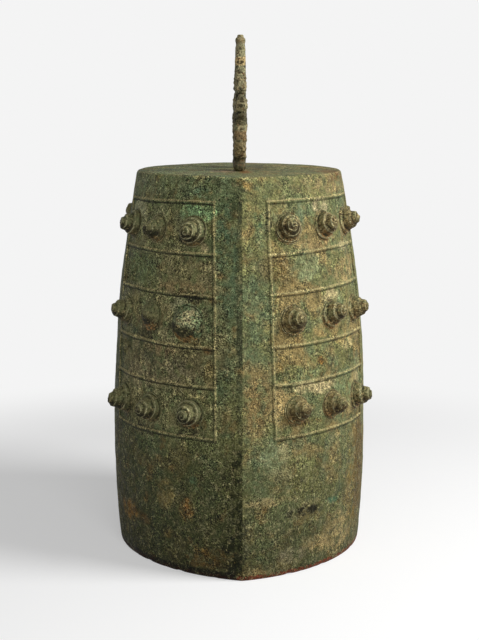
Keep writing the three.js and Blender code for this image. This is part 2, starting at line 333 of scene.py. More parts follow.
def close_skin(bm):
    """Welds the points that meet, fills what is open, faces the skin outward and smooths it."""
    bmesh.ops.remove_doubles(bm, verts=bm.verts, dist=WELD)
    rim = [edge for edge in bm.edges if edge.is_boundary]
    bmesh.ops.holes_fill(bm, edges=rim, sides=0)
    bmesh.ops.recalc_face_normals(bm, faces=bm.faces)
    smooth(bm)


def smooth(bm):
    for face in bm.faces:
        face.smooth = True


def mesh_object(name, bm):
    """Closes a bmesh into a named object in the scene."""
    mesh = bpy.data.meshes.new(name)
    bm.to_mesh(mesh)
    bm.free()
    piece = bpy.data.objects.new(name, mesh)
    bpy.context.scene.collection.objects.link(piece)
    return piece


def dress(piece, finish, slot, *nodes):
    """Gives a piece its finish, its body and the nodes that it stands for."""
    piece.data.materials.clear()
    piece.data.materials.append(finish_named(finish))
    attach(piece, "root")
    if nodes:
        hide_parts(*nodes)


def spread(start, end, count):
    """Count evenly spaced values from start up to, but without, end."""
    return [start + (end - start) * i / count for i in range(count)]


TAN = "a08c5e"
OCHRE = "80602f"
MALACHITE = "587052"
DARK = "1d1b0e"
GROUND = "757448"

# Stains on the half of each face beside the near ridge, by the side of the bell, in millimetres: how
# far in from the ridge, how high up, how wide, how tall, the colour and how strongly it covers. Most
# are colours of the patina; the near-black ones under the first boss of the top row on the -X face and
# beside the ridge low on that face are painted shade.
STAINS_AND_SHADE = {
    1: (
        (290, 150, 90, 260, "86703c", 0.5),
        (190, 692, 250, 44, "94835a", 0.45),
        (30, 400, 62, 560, "5b6849", 0.5),
        (130, 550, 84, 60, "858b62", 0.6),
        (200, 470, 120, 60, "75845f", 0.45),
        (250, 320, 120, 80, "76855c", 0.5),
        (120, 345, 70, 30, "6d7f5a", 0.5),
        (60, 555, 70, 55, "6e5a35", 0.5),
        (255, 530, 110, 60, TAN, 0.6),
        (155, 592, 120, 24, "988458", 0.7),
        (10, 700, 20, 24, "a88a50", 0.7),
        (14, 709, 30, 8, "5f7458", 0.6),
        (35, 697, 50, 20, "626c48", 0.5),
        (52, 640, 30, 60, "5a583a", 0.5),
        (117, 645, 18, 50, "748260", 0.6),
        (220, 655, 52, 26, "68724a", 0.5),
        (25, 637, 26, 30, "53714f", 0.5),
        (165, 698, 45, 20, "93865a", 0.5),
        (75, 388, 30, 34, "857040", 0.6),
        (165, 380, 26, 20, OCHRE, 0.65),
        (27, 320, 56, 130, "93784a", 0.6),
        (70, 315, 32, 70, "b09a68", 0.8),
        (82, 300, 40, 60, "a08a5e", 0.6),
        (79, 233, 26, 40, TAN, 0.7),
        (53, 143, 110, 18, "94855a", 0.7),
        (142, 130, 74, 11, "827a52", 0.6),
        (130, 115, 96, 22, DARK, 0.85),
        (224, 54, 100, 88, "9c8a5c", 0.7),
        (157, 45, 70, 36, TAN, 0.65),
        (203, 122, 52, 18, "44684a", 0.6),
        (28, 12, 50, 16, "8c7a50", 0.6),
        (52, 84, 30, 28, "83744c", 0.5),
        (110, 190, 160, 60, "4c4a28", 0.45),
        (110, 70, 130, 60, "45452a", 0.5),
        (172, 436, 60, 26, "a8905c", 0.6),
        (245, 410, 60, 26, "b0985f", 0.55),
        (286, 330, 40, 40, "ac9a66", 0.6),
        (185, 598, 50, 20, "a4885a", 0.6),
        (258, 600, 40, 20, "a3946a", 0.5),
        (77, 312, 24, 50, "ae9862", 0.6),
        (121, 204, 60, 44, "7d8050", 0.6),
        (73, 191, 50, 30, "85805a", 0.6),
        (99, 34, 70, 30, "7c745a", 0.6),
        (322, 150, 70, 250, "594722", 0.95),
        (172, 332, 60, 26, "bcac7e", 0.85),
        (126, 336, 50, 22, "bcac7c", 0.85),
        (80, 288, 40, 22, "665a34", 0.8),
        (173, 655, 50, 30, "bcae84", 0.85),
        (194, 491, 50, 26, "beae7e", 0.85),
        (118, 280, 54, 20, "46391c", 0.75),
        (250, 706, 100, 18, "6a5834", 0.85),
        (299, 327, 36, 30, "bcab7a", 0.65),
        (252, 577, 60, 18, "bcb082", 0.8),
        (253, 397, 60, 22, "b8a874", 0.7),
        (8, 80, 22, 90, "40402a", 0.65),
        (60, 228, 60, 60, "8f9a72", 0.4),
    ),
    -1: (
        (185, 455, 330, 450, "8a855e", 0.45),
        (170, 300, 300, 110, "8a855c", 0.45),
        (150, 695, 300, 50, "7c8660", 0.4),
        (30, 560, 48, 280, "54684a", 0.6),
        (85, 650, 75, 36, "6f8c5c", 0.75),
        (45, 380, 60, 120, "485b40", 0.5),
        (235, 545, 120, 70, "526b45", 0.45),
        (120, 545, 110, 66, "77714b", 0.6),
        (170, 385, 250, 74, "6f6646", 0.55),
        (130, 372, 46, 40, "2f3a36", 0.6),
        (200, 390, 40, 30, "34402f", 0.5),
        (150, 630, 130, 40, "5d5f47", 0.5),
        (77, 684, 36, 20, MALACHITE, 0.6),
        (12, 649, 16, 14, "5b4020", 0.7),
        (41, 540, 26, 16, "8f6a3c", 0.5),
        (110, 518, 150, 22, "907c54", 0.6),
        (98, 503, 52, 20, DARK, 0.9),
        (167, 405, 70, 20, "94805a", 0.6),
        (65, 413, 20, 16, "7a5a34", 0.7),
        (152, 617, 28, 26, "9a744a", 0.65),
        (70, 587, 14, 18, "c4b584", 0.8),
        (199, 448, 90, 26, "735e3c", 0.5),
        (111, 120, 36, 48, "78643a", 0.75),
        (108, 126, 14, 34, "9a6a34", 0.85),
        (160, 142, 48, 66, "85774a", 0.65),
        (281, 85, 84, 44, "8a6a38", 0.7),
        (218, 82, 40, 20, "604a24", 0.7),
        (60, 37, 70, 48, "65502a", 0.6),
        (96, 172, 26, 30, "5c7250", 0.5),
        (152, 70, 34, 26, "6b5e38", 0.5),
        # Painted shade beside the ridge, low on the -X face.
        (10, 130, 44, 300, "24270f", 0.7),
        (13, 668, 26, 50, "3d4227", 0.6),
        (64, 545, 40, 50, "90865e", 0.6),
        (140, 366, 90, 60, "8c8360", 0.6),
        (225, 352, 120, 56, "918662", 0.65),
        (61, 367, 24, 60, "8c7b4c", 0.6),
        (241, 635, 60, 60, "8e8c62", 0.65),
        (149, 633, 50, 40, "84845a", 0.6),
        (68, 625, 26, 40, "7f8a58", 0.5),
        (172, 475, 60, 44, "958c60", 0.7),
        (112, 484, 50, 30, "8f9468", 0.6),
        (260, 473, 60, 54, "968e60", 0.7),
        (157, 432, 80, 30, "958f66", 0.7),
        (286, 304, 60, 64, "8e845a", 0.7),
        (192, 318, 70, 44, "807f56", 0.55),
        (98, 291, 30, 30, "8a8052", 0.6),
        (42, 436, 30, 110, "8c8258", 0.5),
        (93, 145, 26, 30, "66663f", 0.6),
        (349, 247, 40, 130, "22200f", 0.6),
        (213, 257, 100, 22, DARK, 0.55),
        (105, 264, 60, 18, DARK, 0.5),
        (257, 639, 60, 50, "b4b48a", 0.9),
        (87, 646, 64, 30, "8ca876", 0.8),
        (210, 426, 50, 24, "34341e", 0.85),
        # Painted shadow under the first boss of the top row.
        (99, 600, 60, 15, "1c1f0e", 0.9),
        (87, 317, 44, 30, "a29664", 0.65),
        (5, 480, 16, 440, "474c34", 0.65),
        (173, 640, 32, 40, "9a9a6e", 0.6),
        (194, 317, 50, 30, "9a966c", 0.65),
        (123, 485, 40, 30, "aaa880", 0.65),
        (24, 40, 54, 70, "1f210f", 0.65),
    ),
}


def linear(code):
    """A colour's linear values from its sRGB hex code."""
    channels = [int(code[i : i + 2], 16) / 255 for i in (0, 2, 4)]
    return [c / 12.92 if c <= 0.04045 else ((c + 0.055) / 1.055) ** 2.4 for c in channels] + [1.0]


# Where a stain or a patch of painted shade ends and where it covers fully, as shares of its half width and
# half height.
MARK_END_SHARE = 1.35
MARK_FULL_SHARE = 0.55


def stains_and_shade_between(side, half, low, high):
    """The stains and painted shade that reach a stretch of heights on one half of a face. The far halves
    have none.
    """
    if half == side:
        return []
    reaches = [(row, row[3] / 2 * MARK_END_SHARE) for row in STAINS_AND_SHADE[side]]
    return [row for row, reach in reaches if low / MM - reach < row[1] < high / MM + reach]


def stained_or_shaded(inward, z, stains_and_shade):
    """The colour that stains and painted shade give a place on a face, with their cover as its fourth value.
    """
    colour = Vector(linear(GROUND))
    cover = 0.0
    for middle, level, width, tall, code, amount in stains_and_shade:
        far = math.hypot((inward / MM - middle) * 2 / width, (z / MM - level) * 2 / tall)
        share = amount * smooth_step(MARK_END_SHARE, MARK_FULL_SHARE, far)
        if share > 0:
            cover = cover * (1 - share) + share
            colour = colour.lerp(Vector(linear(code)), share / cover)
    return (*colour[:3], cover)


# How wide the sharp strip beside a ridge is, and how long an edge of the ridge is at least.
RIDGE_EDGE = 1.6 * MM
RIDGE_STEP = 0.5 * MM

# How far over and under its middle the mesh of a line reaches, as shares of its width.
LINE_FOOT_SHARE = 0.65
LINE_UNDER_SHARE = 0.85

# Columns of the strip by the ridge, the outer line, the panel, the inner line and the middle strip.
FACE_COLUMNS = (10, 9, 40, 8, 15)


def half_face(ridge, inner, outer, foot):
    """Column places from the ridge in to the middle of the face, the middle itself left out."""
    edges = (ridge - RIDGE_EDGE, outer + foot, outer - foot, inner + foot, inner - foot, 0.0)
    places = [ridge]
    for start, end, count in zip(edges, edges[1:], FACE_COLUMNS):
        places += spread(start, end, count)
    return places


def face_places(side, z):
    """Column places of one face at height z, as shares of the way from the middle to the ridge."""
    body = body_settings()
    bottom = body.panel_top - panel_height()
    level = min(max(z, bottom), body.panel_top)
    _, radius, reach = face_arc(level)
    ridge = radius * reach
    foot = body.line_width * LINE_FOOT_SHARE
    near = half_face(ridge, *panel_lines(side, -1, level), foot)
    far = half_face(ridge, *panel_lines(side, 1, level), foot)
    return [-place / ridge for place in near] + [0.0] + [place / ridge for place in reversed(far)]


# Rows of the shell: on the top plate, its round edge, the strip under it, the zones of bosses and of
# patterns, a line, the skirt, the rim's round edges, the lip, the inside and the ceiling.
PLATE_ROWS = 14
EDGE_ROWS = 6
STRIP_ROWS, BOSS_ZONE_ROWS, PATTERN_ZONE_ROWS, LINE_ROWS = 8, 16, 10, 13
SKIRT_ROWS = 50
RIM_ROWS = 4
LIP_ROWS = 3
INSIDE_ROWS = 18
CEILING_ROWS = 7

# Where the lip starts to taper, and where the plain inside starts, as shares of the lip's height.
TAPER_SHARE = 0.6
INSIDE_SHARE = 1.5


def quarter_round(radius, count):
    """Steps round a quarter circle, its end left out: a distance that grows and one that shrinks."""
    turns = spread(0.0, math.pi / 2, count)
    return [(radius * (1 - math.cos(turn)), radius * (1 - math.sin(turn))) for turn in turns]


def shell_rows():
    """Rows of the shell from the middle of the top plate, down the outside and up the inside.

    Each row has its height, its inset from the outer wall and how far it is gathered to the middle.
    """
    body = body_settings()
    top = body.height
    rim = body.rim_round
    ceiling = top - body.top_plate
    taper = body.lip_height * TAPER_SHARE
    rows = [(top - down, inset, 1.0) for down, inset in quarter_round(body.top_round, EDGE_ROWS)]
    level = top - body.top_round
    for index, line in enumerate(line_levels()):
        zone_rows = BOSS_ZONE_ROWS if index % 2 else PATTERN_ZONE_ROWS
        line_top = line + body.line_width * LINE_FOOT_SHARE
        line_end = line - body.line_width * LINE_UNDER_SHARE
        rows += [(z, 0.0, 1.0) for z in spread(level, line_top, zone_rows if index else STRIP_ROWS)]
        rows += [(z, 0.0, 1.0) for z in spread(line_top, line_end, LINE_ROWS)]
        level = line_end
    rows += [(z, 0.0, 1.0) for z in spread(level, rim, SKIRT_ROWS)]
    rows += [(z, inset, 1.0) for inset, z in quarter_round(rim, RIM_ROWS)]
    rows += [(0.0, inset, 1.0) for inset in spread(rim, body.lip_wall - rim, RIM_ROWS)]
    rows += [(z, body.lip_wall - out, 1.0) for z, out in quarter_round(rim, RIM_ROWS)]
    rows += [(z, body.lip_wall, 1.0) for z in spread(rim, taper, LIP_ROWS)]
    rows += [(taper, body.lip_wall, 1.0), (body.lip_height, body.wall, 1.0)]
    rows += [(z, body.wall, 1.0) for z in spread(body.lip_height * INSIDE_SHARE, ceiling, INSIDE_ROWS)]
    plate = [(top, body.top_round, share) for share in spread(0.0, 1.0, PLATE_ROWS)]
    inner_plate = [(ceiling, body.wall, 1 - share) for share in spread(0.0, 1.0, CEILING_ROWS)]
    return plate + rows + inner_plate + [(ceiling, body.wall, 0.0)]


def raised_line(distance):
    """Height of a raised line at a distance from its middle."""
    body = body_settings()
    share = abs(distance) / (body.line_width / 2)
    if share >= 1:
        return 0.0
    return body.line_height * (1 - share * share) ** 1.2


def bump_at(value, middle, width):
    """A soft bump, from 0 to 1, round a middle value."""
    return math.exp(-(((value - middle) / width) ** 2))


BOSS_SHADOW_REACH = 13 * MM


def line_relief(side, z, along, levels):
    """How proud the raised lines stand at a point of a face, and the painted shade and pale crests there.

    Level lines get painted shade under their foot, and upright lines get it on their -X side, away from
    the key lamp. Their crests are pale, partly with wear and partly as a painted highlight, on the upper
    side of level lines and the +X side of upright ones.
    """
    body = body_settings()
    inner, outer = panel_lines(side, 1 if along > 0 else -1, z)
    reach = abs(along)
    half = body.line_width / 2
    bottom = body.panel_top - panel_height()
    proud = 0.0
    grime = 0.0
    crest = 0.0
    if inner - half < reach < outer + half:
        for level in levels:
            proud = max(proud, raised_line(z - level))
            above = (z - level) / body.line_width
            # Pale crest on the upper flank, wear and painted highlight; painted shade under the foot.
            crest = max(crest, bump_at(above, 0.18, 0.2))
            if inner < reach < outer:
                grime = max(grime, bump_at(above, -0.4, 0.23))
    if bottom - half < z < body.panel_top + half:
        for place in (inner, outer):
            proud = max(proud, raised_line(reach - place))
            # Pale crest on the +X flank, wear and painted highlight; painted shade on the -X flank.
            toward_minus_x = side * (reach - place) / body.line_width
            crest = max(crest, 0.9 * bump_at(toward_minus_x, -0.14, 0.2))
            grime = max(grime, 0.7 * bump_at(toward_minus_x, 0.38, 0.2))
    return proud, grime, crest


def boss_painted_shadow(z, along, centres):
    """Painted shadow that the bosses cast on the wall below them, from 0 to 1."""
    boss = bpy.context.scene.bell_boss
    dirt_and_shade = 0.0
    for level, middle in centres:
        drop = level - z
        far = math.hypot(drop, along - middle)
        if far < boss.radius + BOSS_SHADOW_REACH:
            below = smooth_step(-0.2, 0.8, drop / max(far, MM))
            dirt_and_shade = max(dirt_and_shade, below * smooth_step(boss.radius + BOSS_SHADOW_REACH, boss.radius, far))
    return dirt_and_shade


# Waves of the wall's corroded skin, and of the wear of its lines.
SKIN_WAVES = ((16 * MM, 0.45 * MM), (8 * MM, 0.3 * MM))
LINE_WAVES = ((30 * MM, 0.45), (9 * MM, 0.2))
LINE_LEFT_SHARE = 0.8

# Streaks across the top plate: their length, their width and their height.
STREAK_LENGTH = 90 * MM
STREAK_WIDTH = 12 * MM
STREAK_HEIGHT = 0.9 * MM

# Worn places of the rim, and the heights between which the wall's wander sets in and the ridges grow
# paler, with wear and a painted highlight.
NICK_SIZE = 20 * MM
NICK_START = 0.15
WANDER_FADE = 30 * MM
RIDGE_PALE_FROM = 200 * MM
RIDGE_PALE_TO = 400 * MM

# How dark the painted shadow under the bosses is, by the side of the bell.
BOSS_SHADOW_SHARES = {1: 0.35, -1: 0.75}


def plate_streaks(point):
    """Low streaks across the top plate, left by casting and corrosion."""
    drawn = Vector((point.x / STREAK_LENGTH, point.y / STREAK_WIDTH, 0.0))
    return noise.noise(drawn) * STREAK_HEIGHT


def rim_nick(x, y):
    """How deep the rim is worn at a place."""
    worn = noise.noise(Vector((x, y, 0)) / NICK_SIZE) - NICK_START
    return body_settings().rim_nicks * 2 * max(0.0, worn)


def wall_surface(point, side, z, share, levels, centres):
    """How proud the outside of the wall stands at a point, and the painted shade and pale crest there."""
    _, radius, reach = face_arc(z)
    along = share * radius * reach
    proud, grime, crest = line_relief(side, z, along, levels)
    proud *= LINE_LEFT_SHARE + roughness(point, LINE_WAVES)
    proud += roughness(point, SKIN_WAVES) * smooth_step(1.0, 0.97, abs(share))
    # The ridge's edge gets a pale crest, wear and a painted highlight, stronger high up.
    if abs(share) == 1.0:
        crest = 0.1 + 0.3 * smooth_step(RIDGE_PALE_FROM, RIDGE_PALE_TO, z)
    return proud, max(grime, BOSS_SHADOW_SHARES[side] * boss_painted_shadow(z, along, centres)), crest


class BELL_OT_body(bpy.types.Operator):
    """Model the hollow cast body with its ridges, its lip and its raised lines"""

    bl_idname = "bronze_bell.body"
    bl_label = "Bell Body"

    def execute(self, context):
        body = context.scene.bell_body
        rows = shell_rows()
        half_count = len(face_places(1, 0.0)) - 1
        bm, (shade_and_grime_mark, crest_mark) = point_grid(2 * half_count, len(rows) - 1, "grime", "crest")
        across = 2 * half_count + 1
        if len(bm.verts) != across * len(rows):
            raise RuntimeError("The grid of the body doesn't have the points that its rows need")
        ridge_mark = bm.verts.layers.int.new("ridge")
        stain_and_shade_mark = bm.verts.layers.float_color.new("stain")
        levels = line_levels()
        centres = {1: [], -1: []}
        for _, (side, _, _, _), z, along in boss_places():
            centres[side].append((z, along))
        for row, (z, inset, gathered) in enumerate(rows):
            places = {side: face_places(side, z) for side in (1, -1)}
            stains_and_shade = {(side, half): stains_and_shade_between(side, half, z, z) for side in (1, -1) for half in (1, -1)}
            _, outside, outer_reach = face_arc(z)
            on_wall = inset == 0.0 and gathered == 1.0
            for column in range(across):
                side = 1 if column < half_count or column == 2 * half_count else -1
                share = places[side][column % half_count]
                half = 1 if share > 0 else -1
                level = z + stray(side, half, z, share) if on_wall else z
                centre, radius, reach = face_arc(level, inset)
                angle = share * reach
                arc_x = side * (centre + radius * math.cos(angle))
                arc_y = side * radius * math.sin(angle)
                point = Vector((arc_x * gathered, arc_y * gathered, level))
                vert = bm.verts[row * across + column]
                vert[stain_and_shade_mark] = stained_or_shaded(outside * outer_reach * (1 - abs(share)), z, stains_and_shade[side, half])
                proud = 0.0
                if on_wall:
                    proud, grime, crest = wall_surface(point, side, z, share, levels, centres[side])
                    vert[shade_and_grime_mark] = grime
                    vert[crest_mark] = crest
                # The round edge of the top plate gets a pale crest, wear and a painted highlight.
                elif z > body.height - body.top_round and gathered == 1.0:
                    vert[crest_mark] = 0.5 * bump_at(inset / body.top_round, 0.3, 0.4)
                point += wander(point) * smooth_step(0.0, WANDER_FADE, z)
                point += facing(side, angle) * proud
                if z < body.rim_round * 2 and inset < body.lip_wall / 2:
                    point.z += rim_nick(arc_x, arc_y)
                if z > body.height - MM and gathered < 1:
                    point.z += plate_streaks(point)
                vert.co = point
                vert[ridge_mark] = int(abs(share) == 1.0 and gathered == 1.0)
        close_skin(bm)
        for edge in bm.edges:
            first, second = edge.verts
            steep = abs(first.co.z - second.co.z) > RIDGE_STEP
            edge.smooth = not (first[ridge_mark] and second[ridge_mark] and steep)
        bm.verts.layers.int.remove(ridge_mark)
        shell = mesh_object("cast_body", bm)
        dress(shell, "cast_bronze_green_patina", "bell_patina", "bell_body")
        return {"FINISHED"}


def squared_spiral(across, up, turns, hand):
    """Height, from 0 to 1, of a spiral that winds in a rounded square from -1 to 1."""
    ring = (across**4 + up**4) ** 0.25
    if ring > 0.98 or ring < 0.06:
        return 0.0
    turn = hand * math.atan2(up, across) / (2 * math.pi)
    phase = (ring * turns + turn) % 1.0
    return smooth_step(0.5, 0.28, abs(phase - 0.5) * 2 - 0.15)


# How the pattern of a band is bent, and the waves of what is left of it and of its crust.
BEND_SIZE = 20 * MM
BEND_SHARE = 0.25
LEFT_WAVES = ((50 * MM, 1.0), (12 * MM, 0.35))
CRUST_WAVES = ((7 * MM, 0.6), (3.5 * MM, 0.5))


def band_relief(along, up, seed):
    """How proud the corroded pattern of a band stands, in metres, at a place on it."""
    band = bpy.context.scene.bell_band
    half = band.motif / 2
    column = math.floor(along / band.motif)
    row = math.floor(up / band.motif)
    hand = 1 if (column + row) % 2 else -1
    across = (along - column * band.motif) / half - 1
    rise = (up - row * band.motif) / half - 1
    place = Vector((along, up, seed))
    bend = noise.noise_vector(place / BEND_SIZE) * BEND_SHARE
    fresh = squared_spiral(across + bend.x, rise + bend.y, band.turns, hand)
    left = smooth_step(-0.05, 0.35, roughness(place, LEFT_WAVES))
    crust = roughness(place, CRUST_WAVES)
    return band.relief * (0.1 + fresh * left * (0.8 + 0.5 * crust) + 0.5 * crust)


# How far a band's edge is sunk in the wall, and how far from its edge it comes up and its pattern
# starts and is full.
BAND_SUNK = 1.6 * MM
BAND_RISE_FROM, BAND_RISE_TO = 0.4 * MM, 3.0 * MM
PATTERN_FROM, PATTERN_TO = 1.2 * MM, 4.0 * MM
BACK_ROWS = 4


class BELL_OT_bands(bpy.types.Operator):
    """Model the patterned bands between the rows of bosses"""

    bl_idname = "bronze_bell.bands"
    bl_label = "Patterned Bands"

    def execute(self, context):
        body = context.scene.bell_body
        band = context.scene.bell_band
        for panel_name, side, half in PANELS:
            for row in range(BOSS_ROWS - 1):
                top = body.panel_top - body.boss_zone - row * (body.boss_zone + body.pattern_zone)
                name = f"band_{panel_name}_{row + 1}"
                self.build(name, side, half, top, top - body.pattern_zone, band)
        return {"FINISHED"}

    def build(self, name, side, half, top, bottom, band):
        line = body_settings().line_width
        top -= line * LINE_UNDER_SHARE
        bottom += line * LINE_FOOT_SHARE
        inner, outer = panel_lines(side, half, (top + bottom) / 2)
        columns = round((outer - inner) / band.grain)
        rows = round((top - bottom) / band.grain)
        bm, (shade_and_grime_mark, crest_mark) = point_grid(columns, rows + BACK_ROWS, "grime", "crest")
        stain_and_shade_mark = bm.verts.layers.float_color.new("stain")
        stains_and_shade = stains_and_shade_between(side, half, bottom, top)
        seed = 0.37 * sum(ord(letter) for letter in name)
        for index, vert in enumerate(bm.verts):
            column = index % (columns + 1)
            row = index // (columns + 1)
            on_front = row <= rows
            up = row / rows if on_front else 1 - (row - rows) / BACK_ROWS
            z = bottom + (top - bottom) * up
            low, high = panel_lines(side, half, z)
            low += line * LINE_FOOT_SHARE
            high -= line * LINE_FOOT_SHARE
            reach = low + (high - low) * column / columns
            edge = min(up * (top - bottom), (1 - up) * (top - bottom), reach - low, high - reach)
            out = -band.root
            if on_front:
                pattern = band_relief(reach, z, seed)
                # Hollows of the pattern get painted shade and grime, and its high places a pale crest.
                vert[shade_and_grime_mark] = 0.8 * smooth_step(-0.05, -0.45, pattern / band.relief)
                vert[crest_mark] = 0.5 * smooth_step(0.5, 1.1, pattern / band.relief)
                if row > 0:
                    out = pattern * smooth_step(PATTERN_FROM, PATTERN_TO, edge)
                    out -= BAND_SUNK * smooth_step(BAND_RISE_TO, BAND_RISE_FROM, edge)
            _, radius, full = face_arc(z)
            share = half * reach / (radius * full)
            vert[stain_and_shade_mark] = stained_or_shaded(radius * full - reach, z, stains_and_shade)
            level = z + stray(side, half, z, share)
            _, radius, full = face_arc(level)
            place = on_face(side, level, share * radius * full)
            out += roughness(place, SKIN_WAVES)
            base = place + wander(place)
            vert.co = base + facing(side, share * full) * out
        close_skin(bm)
        dress(mesh_object(name, bm), "cast_bronze_green_patina", "bell_patina")


def boss_surface(radius, turn, boss, look):
    """Height of a boss over the wall at a place on it, and how much worn crest and hollow is there.

    Each turn of the coil has a steep outer wall, a worn crest at its top and a ledge that runs back to
    the foot of the next turn.
    """

    def cone(share):
        share = min(max(share, 0.0), 1.0)
        return boss.edge + (boss.height * look["tall"] - boss.edge) * (1 - share**boss.swell) ** boss.flare

    share = radius / boss.radius
    wound = (1 - share) * boss.turns + look["hand"] * turn + look["phase"]
    place = wound % 1.0
    outer = share + place / boss.turns
    inner = outer - 1 / boss.turns
    climb = 1.1 * smooth_step(0.0, boss.wall_share, place)
    climb -= 0.1 * smooth_step(boss.wall_share + 0.1, 0.95, place)
    wound_out = cone(outer) + (cone(inner) - cone(outer)) * climb
    kept_share = look["fresh"] * smooth_step(0.0, 0.1, share)
    out = cone(share) + (wound_out - cone(share)) * kept_share
    crest = bump_at(place, boss.wall_share, 0.12)
    hollow = max(bump_at(place, 0.04, 0.14), bump_at(place, 1.04, 0.14))
    clear = min(1.0, 1.3 * look["fresh"])
    return out, crest * clear, hollow * clear


# The low ring round a boss's foot: how far it lies over the wall, how high it is, how far its edge
# dips in, and the size of the noise that breaks it up.
FLANGE_LIFT = 0.3 * MM
FLANGE_RING = 1.2 * MM
FLANGE_DIP = 1.6 * MM
FLANGE_NOISE = 30 * MM


def flange_surface(radius, seed, boss):
    """Height of the low ring over the wall, and how much worn crest and hollow is there."""
    share = (radius - boss.radius) / boss.flange
    ring = bump_at(share, 0.45, 0.22) * smooth_step(-0.2, 0.3, noise.noise(seed / FLANGE_NOISE))
    out = FLANGE_LIFT + FLANGE_RING * ring - FLANGE_DIP * smooth_step(0.75, 1.0, share)
    return out, 0.8 * ring, max(bump_at(share, 0.0, 0.25), bump_at(share, 1.0, 0.3))


# Waves of the bosses' wear, as shares of its depth.
BOSS_WAVES = ((14 * MM, 1.0), (6 * MM, 0.9), (3 * MM, 0.6))
WORN_KEYS = ("tall", "fresh", "dirt_and_shade", "rust", "wide", "aside", "up")

# What each boss draws by chance, in this order: the least and the most of every value.
CHANCES = {
    "phase": (-0.12, 0.12),
    "tall": (0.88, 1.0),
    "fresh": (0.35, 0.65),
    "aside": (-3.0, 3.0),
    "up": (-2.0, 4.0),
    "seed": (0.0, 50.0),
    "dirt_and_shade": (0.6, 1.1),
    "rust": (0.1, 0.9),
    "wide": (0.92, 1.02),
}

# Where wear shows most, by the side of the bell, the half of the face, the row and the column: how
# tall a boss is left, how fresh its coils are, how dark its underside is with dirt and painted shade,
# how rusty its foot is, how wide it is, and how far its tip has moved aside and up, in millimetres.
WORN_LOOKS = {
    (1, -1, 1, 1): (0.80, 0.60, 1.3, 0.5, 1.02, -11, 5),
    (1, -1, 1, 2): (0.96, 0.65, 0.3, 1.4, 1.00, -6, 4),
    (1, -1, 1, 3): (0.96, 0.55, 0.4, 0.6, 0.94, -2, 5),
    (1, -1, 2, 1): (0.92, 0.50, 0.8, 0.5, 1.00, -1, 4),
    (1, -1, 2, 2): (0.98, 0.60, 0.6, 1.4, 0.94, 4, 8),
    (1, -1, 2, 3): (0.95, 0.45, 0.5, 0.6, 0.94, 0, 5),
    (1, -1, 3, 1): (0.90, 0.40, 1.0, 0.8, 0.94, 9, 6),
    (1, -1, 3, 2): (0.96, 0.45, 1.0, 0.9, 0.94, 0, 3),
    (1, -1, 3, 3): (1.02, 0.60, 0.6, 0.7, 0.94, 0, 3),
    (-1, 1, 1, 1): (0.94, 0.70, 1.0, 0.5, 0.98, 3, -8),
    (-1, 1, 1, 2): (0.94, 0.40, 1.5, 0.9, 0.90, 2, -8),
    (-1, 1, 1, 3): (0.94, 0.60, 1.1, 0.2, 0.98, 0, -3),
    (-1, 1, 2, 1): (0.80, 0.15, 1.2, 0.7, 1.20, -14, -8),
    (-1, 1, 2, 2): (0.46, 0.30, 0.9, 1.4, 0.98, -6, 2),
    (-1, 1, 2, 3): (0.98, 0.50, 1.0, 0.3, 0.98, 0, 0),
    (-1, 1, 3, 1): (0.94, 0.70, 0.9, 1.0, 0.96, 2, -3),
    (-1, 1, 3, 2): (0.96, 0.65, 1.1, 0.5, 0.96, 0, -6),
    (-1, 1, 3, 3): (1.08, 0.50, 1.2, 0.4, 1.02, -3, -4),
}

# The boss that has worn to a lump, the start of the bosses' random draws, and the steps round and
# along a boss and its low ring.
LUMP = "boss_back_right_2_1"
BOSS_SEED = 5
BOSS_AROUND = 64
BOSS_RINGS = 52
FLANGE_RINGS = 7


